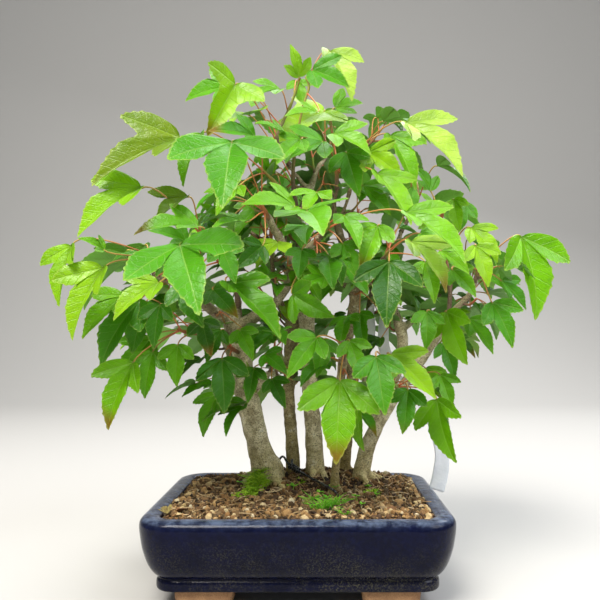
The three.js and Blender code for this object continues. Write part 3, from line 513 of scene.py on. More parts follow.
dusty = add(tree, "Math", dust_height, clouds, operation="MULTIPLY")
dots = add(tree, "ValToRGB", specks, stops=[(0.49, 0.03), (0.62, 0.6)])
dust = add(tree, "Math", dusty, dots, operation="MULTIPLY")
colour = painted(
    tree, "#030514", (ripple, None, "#070b2a"), (flow, [(0.45, 0), (0.75, 0.4)], "#0f1740"),
    (lip, None, "#566279"), (dust, None, "#5f5c44"))
rough_dust = add(tree, "Math", dust, 0.5, operation="MULTIPLY")
rough = add(tree, "Math", rough_dust, add(tree, "Math", flow, 0.16, operation="MULTIPLY"))
normal = bumped(tree, [(ripple, 1.2, 0.5), (flow, 0.25, 0.6), (pit_marks, 0.25, 0.5)])
shader = add(tree, "BsdfPrincipled", Base_Color=colour, Roughness=rough, IOR=1.5, Normal=normal,
             Specular_IOR_Level=0.14)
add(tree, "OutputMaterial", shader)

print("glaze nodes:", len(tree.nodes))

# %% [markdown]
# The feet are bare stoneware, wiped with a sponge. It is sandy and matt, with darker patches
# where the kiln's flame touched it.

# %% Bare clay
clay, tree = new_material("bare_stoneware_clay")
place = object_place(tree)
grog = add(tree, "TexNoise", place, Scale=1.4, Detail=6, Roughness=0.7)
patch = add(tree, "TexNoise", place, Scale=0.12, Detail=3)
colour = painted(tree, "#8f6a48", (grog, [(0.35, 0), (0.65, 1)], "#b98f66"),
                 (patch, [(0.4, 0), (0.65, 0.5)], "#7c5a3e"))
shader = add(tree, "BsdfPrincipled", Base_Color=colour, Roughness=0.88, IOR=1.5,
             Normal=bumped(tree, [(grog, 0.4, 0.8)]))
add(tree, "OutputMaterial", shader)

pot.data.materials.append(glaze)
pot_feet = feet.piece("pot_feet", [clay])
print("glaze and clay on the pot and its feet")

# %% [markdown]
# ## Drain screens
#
# Under the soil a square of black plastic mesh keeps the grains out of each drain hole. Their
# solids have the right shape, so they stay and only get their moulded plastic.

# %% Drain screens
screen_plastic, tree = new_material("moulded_black_polyethylene")
grain = add(tree, "TexNoise", object_place(tree), Scale=2.0, Detail=3)
black = painted(tree, "#17191a", (grain, None, "#26292a"))
shader = add(tree, "BsdfPrincipled", Base_Color=black, Roughness=0.55, IOR=1.5,
             Normal=bumped(tree, [(grain, 0.05, 0.5)]))
add(tree, "OutputMaterial", shader)
for name in ("drain_screen_left", "drain_screen_right"):
    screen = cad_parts[name].data
    screen.materials.clear()
    screen.materials.append(screen_plastic)
print("two screens")

# %% [markdown]
# ## Soil
#
# Bonsai soil is a sifted mix: brown fired-clay grains, cream pumice and dark bits of lava and
# bark, each 2 to 5 mm across. A bumpy surface alone looks like carpet. Real grains lying on a
# rough bed of the same colours look like grains, so the bed is drawn first and then strewn. The
# bed's browns run darker than the grains, as painted shade in the gaps between them.

# %% Bed of the soil
MOUND = {"x": 10, "y": 44, "reach_x": 58, "reach_y": 30, "height": 9, "edge": 56.2}


def soil_height(x, y):
    away = ((x - MOUND["x"]) / MOUND["reach_x"]) ** 2 + ((y - MOUND["y"]) / MOUND["reach_y"]) ** 2
    lumps = 0.45 * (np.sin(x * 0.9 + y * 0.37) + np.sin(y * 1.1 - x * 0.53))
    return MOUND["edge"] + MOUND["height"] * np.exp(-away) + lumps


walls = [[24.6, 17.3], [17.5, 20.8], [11.5, 36], [10.7, 48], [13.9, 52.6], [14.3, 55]]
rings = [rounded_ring(inset, z) for inset, z in walls]
rim = rounded_ring(14.3, 0)
for share in np.linspace(0.985, 0.02, 34):
    rings.append([(x * share, y * share, soil_height(x * share, y * share) - 0.5) for x, y, _ in rim])
points, faces = skin(rings)

shaded_earth, tree = new_material("fired_clay_fines_and_painted_shade")
place = object_place(tree)
crumbs = add(tree, "TexVoronoi", place, Scale=0.45, Randomness=1.0)
fines = add(tree, "TexNoise", place, Scale=1.2, Detail=6, Roughness=0.7)
shade = add(tree, "SeparateColor", crumbs.outputs["Color"])
# The bed's browns are darker than the grains: painted shade in the gaps between them.
shaded_bed_browns = [(0, "#1d140e"), (0.35, "#3f2c1b"), (0.7, "#6b4c2c"), (1, "#94713f")]
colour = painted(tree, add(tree, "ValToRGB", shade, stops=shaded_bed_browns),
                 (fines, [(0.4, 0), (0.7, 0.6)], "#35241a"))
gaps = add(tree, "ValToRGB", crumbs, stops=[(0, 1), (0.8, 0)])
shader = add(tree, "BsdfPrincipled", Base_Color=colour, Roughness=0.95,
             Normal=bumped(tree, [(gaps, 1.2, 0.9), (fines, 0.4, 0.7)]))
add(tree, "OutputMaterial", shader)
soil_bed = make_piece("soil_bed", points, faces, [shaded_earth])
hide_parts("soil")
print("soil bed:", len(faces), "faces")

# %% [markdown]
# ### Grains
#
# A grain starts as a rough ball with its points pushed in and out, and is squashed along one
# axis. Three recipes of sizes and colours give the three kinds in the mix. Each grain carries
# its own tone in a colour layer, which its material reads.

# %% Grain forms
def ball(subdivisions):
    mesh = bmesh.new()
    bmesh.ops.create_icosphere(mesh, subdivisions=subdivisions, radius=1.0)
    points = np.array([v.co[:] for v in mesh.verts])
    faces = [[v.index for v in face.verts] for face in mesh.faces]
    mesh.free()
    return points, faces


BALL_FINE = ball(2)
BALL_PLAIN = ball(1)


def grain_of(rng, size, form, squash):
    """A ball with its points pushed in and out, squashed and turned"""
    points, faces = form
    bends = rng.normal(size=(3, 3))
    waves = np.sin(points @ bends.T * 1.6 + rng.uniform(0, 6, 3)).sum(1, keepdims=True)
    bent = points * (1 + 0.36 * waves / 2)
    bent *= rng.uniform(0.86, 1.12, (len(points), 1))
    turn, _ = np.linalg.qr(rng.normal(size=(3, 3)))
    scale = size / 2 * np.array([1, rng.uniform(0.75, 1), rng.uniform(*squash)])
    return (bent * scale) @ turn.T, faces


print("points of a fine and a plain grain:", len(BALL_FINE[0]), len(BALL_PLAIN[0]))

# %% [markdown]
# The grains lie at drawn places over the whole bed, but not inside a stem. Each recipe gives the
# number of grains, their sizes, tones and flatness, and how far they stand out of the bed. In
# front of the mound the soil is damp, so it is darker there.

# %% Strew the bed
# Where each stem stands, as a seen place with its radius, and the edge of the bed of soil
STEM_FEET = [
    [-23, 60, 34, 15], [-5.4, 66, 47, 7.4], [11.5, 62, 41, 10], [25.5, 56, 6, 5.4], [44, 62, 37, 9.6],
    [32.8, 70, 56, 6.6],
]
BED = {"x": 88.4, "y": 65.9, "corner": 10.4, "corner_x": 78, "corner_y": 56}


def on_soil(x, y, spare=0.0):
    inside = abs(x) < BED["x"] - spare and abs(y) < BED["y"] - spare
    off_x = max(abs(x) - BED["corner_x"], 0)
    off_y = max(abs(y) - BED["corner_y"], 0)
    corner = math.hypot(off_x, off_y) < BED["corner"] - spare
    feet_points = [(placed(*row[:3]), row[3]) for row in STEM_FEET]
    clear = all(math.hypot(x - p[0], y - p[1]) > r * 0.86 for p, r in feet_points)
    return inside and corner and clear


def strew(build, rng, count, sizes, tones, form, squash, lift, spare=1.0):
    """Strews grains over the bed, darker where it is damp in front of the mound"""
    made = 0
    while made < count:
        x, y = rng.uniform(-88, 88), rng.uniform(-66, 66)
        if not on_soil(x, y, spare):
            continue
        size = rng.uniform(*sizes)
        points, faces = grain_of(rng, size, form, squash)
        at = np.array([x, y, soil_height(x, y) - 0.5 + size * lift])
        damp = math.exp(-(((x - MOUND["x"]) / 46) ** 2) - ((y - MOUND["y"] + 12) / 30) ** 2)
        tone = rng.uniform(*tones) * (1 - 0.6 * damp)
        build.add(points + at, faces, 0, (tone, rng.uniform() * (1 - damp), rng.uniform(), 1))
        made += 1


rng = np.random.default_rng(31)
clay_grains = Build()
strew(clay_grains, rng, 900, (2.2, 5.6), (0, 1), BALL_FINE, (0.45, 0.9), 0.2)
strew(clay_grains, rng, 2900, (1.1, 2.4), (0, 0.9), BALL_PLAIN, (0.6, 0.9), 0.5)
pumice_grains = Build()
strew(pumice_grains, rng, 110, (2.0, 4.6), (0, 1), BALL_FINE, (0.6, 0.95), 0.35)
bark_bits = Build()
strew(bark_bits, rng, 900, (1.4, 4.6), (0, 1), BALL_PLAIN, (0.25, 0.5), 0.4, 2.0)
print("grains:", len(clay_grains.points), len(pumice_grains.points), len(bark_bits.points))

# %% [markdown]
# A few larger cream pebbles lie where the photograph shows them, most of them along the front.
# A pixel of the photograph is followed down its line of sight until it meets the soil.

# %% Pebbles where they are seen
PIXEL = {"size": 0.7354, "left": -220.9, "top": 420.8}


def from_pixel(u, v):
    """A pixel of the photograph as x and z on the upright plane through the pot"""
    return PIXEL["size"] * u + PIXEL["left"], PIXEL["top"] - PIXEL["size"] * v


def on_ground(u, v):
    """Where the line of sight through a pixel meets the soil"""
    x, z = from_pixel(u, v)
    eye = np.array([EYE["x"], -EYE["distance"], EYE["z"]])
    way = placed(x, z, 0) - eye
    share = 0.8
    for _ in range(60):
        point = eye + way * share
        share += (point[2] - soil_height(point[0], point[1])) / abs(way[2]) * 0.7
    return eye + way * share


PEBBLES = [
    [176, 503, 4.0], [247, 512, 3.4], [263, 507, 4.4], [350, 495, 3.6], [362, 505, 4.0], [385, 476, 4.6],
    [421, 507, 3.4], [228, 520, 3.0], [302, 512, 3.4], [330, 518, 2.8], [402, 515, 3.2], [205, 510, 3.0],
    [375, 490, 3.0], [268, 520, 2.6], [440, 519, 3.0], [190, 519, 3.2],
]
for u, v, size in PEBBLES:
    place = on_ground(u, v)
    if on_soil(place[0], place[1], 1.0):
        points, faces = grain_of(rng, size, BALL_FINE, (0.7, 0.95))
        place[2] = soil_height(place[0], place[1]) + size * 0.25
        pumice_grains.add(points + place, faces, 0, (rng.uniform(0.6, 1), rng.uniform(), rng.uniform(), 1))
print("front pebble at", on_ground(263, 507).round(1))

# %% [markdown]
# ### What the grains are made of
#
# Fired clay is matt and dusty, and each grain has its own brown. Pumice is cream and full of
# pores. Bark and lava are nearly black. All three read their tone from the colour layer.

# %% Grain materials
def toned(tree):
    """The three numbers of the tone layer"""
    return add(tree, "SeparateColor", add(tree, "Attribute", attribute_name="tone")).outputs


def grain_material(name, stops, pore, roughness):
    material, tree = new_material(name)
    first, second, _ = toned(tree)
    place = object_place(tree)
    fine = add(tree, "TexNoise", place, Scale=2.2, Detail=5, Roughness=0.7)
    pores = add(tree, "TexVoronoi", place, Scale=1.8)
    sandy = add(tree, "Math", second, 0.25, operation="MULTIPLY")
    base = painted(tree, add(tree, "ValToRGB", first, stops=stops),
                   (fine, [(0.35, 0), (0.75, 0.55)], pore), (sandy, None, "#c4a26a"))
    shader = add(tree, "BsdfPrincipled", Base_Color=base, Roughness=roughness,
                 Normal=bumped(tree, [(fine, 0.35, 0.8), (pores, 0.2, 0.6)]))
    add(tree, "OutputMaterial", shader)
    return material


CLAY_BROWNS = [(0, "#2a1d13"), (0.3, "#62432a"), (0.6, "#9a7244"), (0.85, "#c09a64"), (1, "#dfc796")]
PUMICE_CREAMS = [(0, "#9c8558"), (0.5, "#c2ab7c"), (1, "#e4d8b8")]
BARK_BLACKS = [(0, "#1c1512"), (0.5, "#35261d"), (1, "#5a4130")]
fired_clay = grain_material("fired_akadama_clay", CLAY_BROWNS, "#3f2c1b", 0.95)
pumice = grain_material("washed_pumice", PUMICE_CREAMS, "#9d8a64", 0.9)
dark_bits = grain_material("pine_bark_and_lava", BARK_BLACKS, "#17110e", 0.9)
for build, name, material in (
    (clay_grains, "clay_grains", fired_clay),
    (pumice_grains, "pumice_grains", pumice),
    (bark_bits, "bark_bits", dark_bits),
):
    piece = build.piece(name, [material], smooth=False)
    print(name, len(piece.data.polygons), "faces")

# %% [markdown]
# ## Stems
#
# The clump has six stems that lean away from each other. Each limb is a row of places with a
# radius. Round tubes through those rows, fused by a fine voxel remesh and then smoothed, give
# forks that swell into each other as grown wood does. Joining the tubes as they are would leave a
# hard line at every fork.

# %% Limbs of the six stems
STEMS = {
    "stem_left": [
        [[-23, 60, 34, 14], [-23.8, 74, 32, 13], [-28, 86, 31, 10], [-31.2, 97, 30, 8.6],
         [-36.3, 119, 29, 8.8], [-40.7, 138, 28, 9], [-42.2, 156, 27, 7.6], [-45.9, 171, 26, 7],
         [-50, 183, 25, 7.4], [-52, 190, 25, 4]],
        [[-34, 84, 38, 4], [-40, 108, 42, 3.8], [-47, 136, 46, 3.4], [-52, 158, 52, 2.8],
         [-58, 174, 56, 2.3]],
        [[-48, 181, 25, 5.6], [-40.7, 182.5, 21, 5], [-28.2, 191, 16, 4.2], [-18.7, 198, 12, 4],
         [-11.3, 207.5, 8, 3.9], [-6.2, 218.6, 4, 3.9], [-4, 227.4, 0, 4.6], [-4.2, 230, -1, 3]],
        [[-4, 226, 0, 3.4], [1.2, 231, -6, 3], [7.1, 239, -15, 2.6], [13.8, 246, -25, 2.1]],
        [[-4.5, 227, 0, 3.4], [-12.8, 240.6, -4, 3.1], [-20.9, 255.3, -11, 2.6], [-26, 265.5, -18, 1.9]],
        [[-50, 184, 25, 5], [-62.8, 191.4, 18, 4.5], [-70.1, 196.5, 8, 4], [-81.2, 207.5, -6, 3.3],
         [-97, 214, -18, 2.4], [-107, 218.6, -24, 1.7]],
        [[-46, 184, 22, 3], [-45.9, 200, 14, 2.2], [-47.3, 208, -4, 1.8]],
        [[-36, 132, 24, 3.6], [-28.2, 139.9, 14, 3], [-22.3, 146.5, 6, 2.3], [-15, 142.8, 0, 1.6]],
    ],
    "stem_left_middle": [
        [[-5.4, 66, 47, 6.4], [-5.4, 79, 46, 5.3], [-6.9, 104.6, 44, 4.6], [-8.4, 126.6, 40, 4.5],
         [-7.6, 148.7, 37, 4.4], [-6.9, 167, 35, 4.6], [-5.6, 181.8, 33, 5.6], [-5.4, 187, 33, 4]],
        [[-6, 183, 33, 3.6], [-12.8, 192.8, 31, 3], [-17, 202, 29, 2.6], [-20, 218, 27, 2.1],
         [-21.6, 244, 22, 1.5]],
        [[-5, 183, 34, 3.4], [-2, 190, 40, 3], [2, 205, 48, 2.6], [4, 226, 58, 2.2], [2, 246, 66, 1.7]],
    ],
    "stem_middle": [
        [[11.5, 62, 41, 9], [11.5, 75, 40, 7.6], [10, 104.6, 38, 6.6], [7.8, 126.6, 34, 6.2],
         [6.3, 156, 30, 5.8], [5.6, 174.4, 27, 5.6], [4.4, 187, 25, 6.4], [1.2, 204, 22, 4.6],
         [0.5, 229.6, 19, 4], [-1, 248, 16, 3.7], [-1.5, 259, 14, 3.3], [1.9, 270, 11, 2.9],
         [7.1, 281, 9, 3]],
        [[7, 280, 9, 2.6], [-0.2, 288, 6, 2.2], [-8, 299, 3, 1.9], [-14.6, 311, 0, 1.5]],
        [[7, 280, 9, 2.5], [10.8, 292, 12, 2], [15, 300, 18, 1.6], [22, 306, 26, 1.3]],
        [[1.5, 202, 22, 3.4], [-6, 214, 40, 2.8], [-16, 228, 56, 2.4], [-28, 244, 66, 1.9]],
    ],
    "stem_front": [
        [[25.5, 54, 6, 4.4], [25.5, 62, 5, 3.9], [25.5, 75, 3, 3.6], [26.9, 86, 0, 3.4],
         [28.4, 112, -7, 3.2], [29.9, 138, -15, 3], [31.3, 156, -22, 2.6], [31.3, 169, -28, 1.8]],
    ],
    "stem_right": [
        [[44, 62, 37, 8.6], [45.3, 74, 35, 7.2], [49, 90, 33, 6.4], [54.9, 104.6, 30, 5.8],
         [61, 115.6, 28, 5.6]],
        [[60, 113, 28, 5], [73.3, 134, 22, 4.2], [86.5, 152.4, 15, 3.7], [100.5, 173, 10, 3.3],
         [107.8, 182, 8, 3], [113.7, 193, 6, 2.8], [121, 200.2, 4, 2.5], [126.2, 207.5, 2, 2.2],
         [130, 218, 0, 1.7]],
        [[60, 113, 28, 5], [67, 137.7, 31, 4.6], [73.3, 156, 34, 4.4], [75.5, 167, 36, 4.2],
         [74, 178, 38, 5], [71, 187, 39, 3.6], [66, 207.5, 42, 2.9], [68, 230, 46, 2.3],
         [74, 250, 50, 1.7]],
        [[56, 108, 32, 4.2], [50, 132, 42, 3.8], [48.3, 152, 47, 3.5], [48.3, 171, 50, 3.4],
         [50, 192, 56, 2.9], [54, 214, 62, 2.3]],
        [[74, 178, 38, 3.6], [88, 190, 48, 2.8], [102, 204, 54, 2.2], [110, 214, 58, 1.7]],
    ],
    "stem_tall": [
        [[32.8, 70, 56, 5.6], [32.8, 82.5, 55, 4.8], [35.8, 115.6, 52, 4.8], [38, 145, 47, 4.9],
         [34.6, 171, 42, 5], [38, 184, 40, 5.6], [40.2, 200, 38, 4.6], [38, 209.7, 36, 5],
         [35, 228, 33, 4.2], [31.3, 240.6, 30, 3.8], [26.9, 255, 27, 3.6], [26.4, 260, 26, 2.6]],
        [[27, 254, 27, 2.8], [24.7, 268.6, 25, 2.3], [26.9, 281, 22, 2], [26.9, 293, 17, 1.6]],
        [[27, 254, 27, 2.6], [33.5, 270, 30, 2], [38, 288, 36, 1.6], [42, 306, 42, 1.3]],
        [[38, 208, 36, 3.4], [31.3, 212.7, 30, 2.7], [24, 220, 22, 2.4], [16.5, 231, 12, 2],
         [13, 240.6, 5, 1.6]],
        [[38, 207, 36, 3.6], [47.5, 212.7, 26, 2.6], [53, 219, 14, 2.2], [61, 230, -4, 1.7]],
        [[40, 198, 38, 3.2], [42, 212, 50, 2.6], [40, 232, 60, 2.1], [36, 250, 66, 1.6]],
    ],
}
ROOTS = {
    "stem_left": [-24, 74, 32, 12, [2.5, 3.4, 4.3, 5.2]],
    "stem_left_middle": [-5.4, 79, 46, 6, [1.7]],
    "stem_middle": [11.5, 75, 40, 8, [4.4, 5.1]],
    "stem_front": [25.5, 62, 5, 4.5, [3.7, 5.7]],
    "stem_right": [45.3, 74, 35, 8, [4.8, 5.9, 0.3]],
    "stem_tall": [32.8, 82.5, 55, 5.5, [2.4, 0.3]],
}

print(len(STEMS), "stems,", sum(len(limbs) for limbs in STEMS.values()), "limbs")

# %% [markdown]
# A remesh into fine cells makes one skin of the tubes of a stem, and sine waves along its normals
# add burls, ridges and old scars. Surface roots leave each foot and dip into the soil.

# %% Fuse the limbs of a stem
def limb_path(limb, step=3.0):
    return smooth_path([placed(*row[:3]) for row in limb], [row[3] for row in limb], step)


def root_paths(x, z, depth, radius, turns):
    """Surface roots that leave the foot of a stem and dip into the soil"""
    foot = placed(x, z, depth)
    for turn in turns:
        reach = radius * (2.1 + 0.3 * math.sin(3 * turn))
        places = []
        for share, height in ((0, 6), (0.3, 4.2), (0.6, 1.9), (0.9, -0.4), (1.15, -3)):
            bend = 0.18 * math.sin(share * 4 + turn)
            px = foot[0] + math.cos(turn + bend) * reach * share
            py = foot[1] + math.sin(turn + bend) * reach * share
            places.append((px, py, soil_height(px, py) + height))
        yield places, [radius * s for s in (0.5, 0.42, 0.32, 0.24, 0.16)]


def fused(name, parts, voxel):
    raw = Build()
    for points, faces in parts:
        raw.add(points, faces)
    piece = make_piece(name, np.vstack(raw.points), raw.faces, [])
    bpy.context.view_layer.objects.active = piece
    piece.select_set(True)
    for kind, settings in (
        ("REMESH", {"mode": "VOXEL", "voxel_size": voxel * MM, "use_smooth_shade": True}),
        ("SMOOTH", {"factor": 0.5, "iterations": 5}),
    ):
        modifier = piece.modifiers.new(kind, kind)
        for key, value in settings.items():
            setattr(modifier, key, value)
        bpy.ops.object.modifier_apply(modifier=kind)
    piece.select_set(False)
    return piece


def roughened(piece, waves):
    """Moves each point along its normal by a few sine waves: burls, ridges and old scars"""
    mesh = piece.data
    count = len(mesh.vertices)
    co = np.empty(count * 3)
    normals = np.empty(count * 3)
    mesh.vertices.foreach_get("co", co)
    mesh.vertices.foreach_get("normal", normals)
    co, normals = co.reshape(-1, 3), normals.reshape(-1, 3)
    place = co / MM
    lift = np.zeros(count)
    for size, tall, height, seed in waves:
        rng = np.random.default_rng(seed)
        for _ in range(4):
            way = rng.normal(size=3) * [1, 1, 1 / tall]
            turns = place @ (way / np.linalg.norm(way)) * 2 * math.pi / size
            lift += height / 4 * np.sin(turns + rng.uniform(0, 6))
    mesh.vertices.foreach_set("co", (co + normals * lift[:, None] * MM).ravel())
    mesh.update()


print("places along the thickest limb:", len(limb_path(STEMS["stem_left"][0])[0]))

# %% [markdown]
# ### Bark
# A young trident maple has smooth pale bark, yellower at the foot and browner among the limbs,
# with fine dark specks and short cross marks, the pores that the wood breathes through. It is
# matt. The specks are about half a millimetre wide and the cross marks 2 to 4 mm long. The three
# thin stems are browner than the thick ones, and their darker bark is also painted shade, so one
# function gives two barks.

# %% Bark material
def maple_bark(name, low, high, stain):
    """Bark between a low and a high colour, with a stain that grows towards the foot"""
    material, tree = new_material(name)
    place = object_place(tree)
    height = add(tree, "SeparateXYZ", place).outputs["Z"]
    broad, fine, specks = (
        add(tree, "TexNoise", place, Scale=scale, Detail=detail, Roughness=rough)
        for scale, detail, rough in ((0.11, 5, 0.65), (0.7, 6, 0.75), (1.25, 3, 0.55))
    )
    level = add(tree, "VectorMath", place, (0.3, 0.3, 1), operation="MULTIPLY")
    marks = add(tree, "TexNoise", level, Scale=1.1, Detail=4, Roughness=0.7)
    foot, aloft = (
        add(tree, "Math", add(tree, "MapRange", height, start, end), 0.6, operation="MULTIPLY")
        for start, end in ((100, 62), (135, 210))
    )
    colour = painted(
        tree, low, (broad, [(0.42, 0), (0.57, 1)], high), (foot, None, stain), (aloft, None, "#75634a"),
        (fine, [(0.36, 0.75), (0.5, 0)], "#6b5f46"), (fine, [(0.56, 0), (0.7, 0.6)], "#e0d6bd"),
        (broad, [(0.6, 0), (0.68, 0.6)], "#eee8d6"), (marks, [(0.58, 0), (0.66, 0.7)], "#4c4130"),
        (specks, [(0.58, 0), (0.64, 0.85)], "#2a2014"))
    heights = [(broad, 1.6, 0.6), (fine, 0.5, 0.7), (marks, 0.3, 0.5), (specks, -0.3, 0.6)]
    shader = add(tree, "BsdfPrincipled", Base_Color=colour, Roughness=0.85, IOR=1.45,
                 Normal=bumped(tree, heights))
    add(tree, "OutputMaterial", shader)
    return material


pale_bark = maple_bark("pale_maple_bark", "#ada17c", "#e4d9b2", "#c8b26c")
# The darker copy is browner bark and also painted shade for the thin stems.
shaded_brown_bark = maple_bark("brown_maple_bark_with_painted_shade", "#8a7c56", "#baab7c", "#988540")
print("barks:", pale_bark.name, shaded_brown_bark.name)

# %% [markdown]
# Each stem is fused from its limbs and roots, roughened and dressed in one of the two barks. The
# three waves are the swellings of the wood, the ridges of the bark and the small bumps on it:
# each has its length, how much it is drawn out upwards, its height in millimetres and a seed.

# %% Build the stems
# Stems that get the darker bark: browner, and darker as painted shade.
SHADED_BROWN_STEMS = ("stem_left_middle", "stem_front", "stem_tall")
REMESH_CELL = 0.98
WAVES = [(34, 2.0, 0.7, 5), (12, 1.4, 0.5, 6), (5, 1.0, 0.28, 7)]

for name, limbs in STEMS.items():
    parts = []
    for limb in limbs:
        path, radii = limb_path(limb)
        parts.append(tube(path, radii, 14))
    for places, radii in root_paths(*ROOTS[name]):
        path, sizes = smooth_path(places, radii, 2.0)
        parts.append(tube(path, sizes, 10))
    wood = fused(name + "_wood", parts, REMESH_CELL)
    roughened(wood, WAVES)
    wood.data.materials.append(shaded_brown_bark if name in SHADED_BROWN_STEMS else pale_bark)
    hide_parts(name)
    print(name, len(wood.data.polygons), "faces")

# %% [markdown]
# ## Leaves
#
# A trident maple leaf has three pointed lobes. The middle one is the longest and ends in a
# drawn-out tip, and each lobe has its own main vein from the stalk. The blade folds along the
# midrib like a book, arches, and ripples at its edge. All of that is computed point by point, so
# every leaf is its own. A flat card with a leaf picture would look right only from the front.

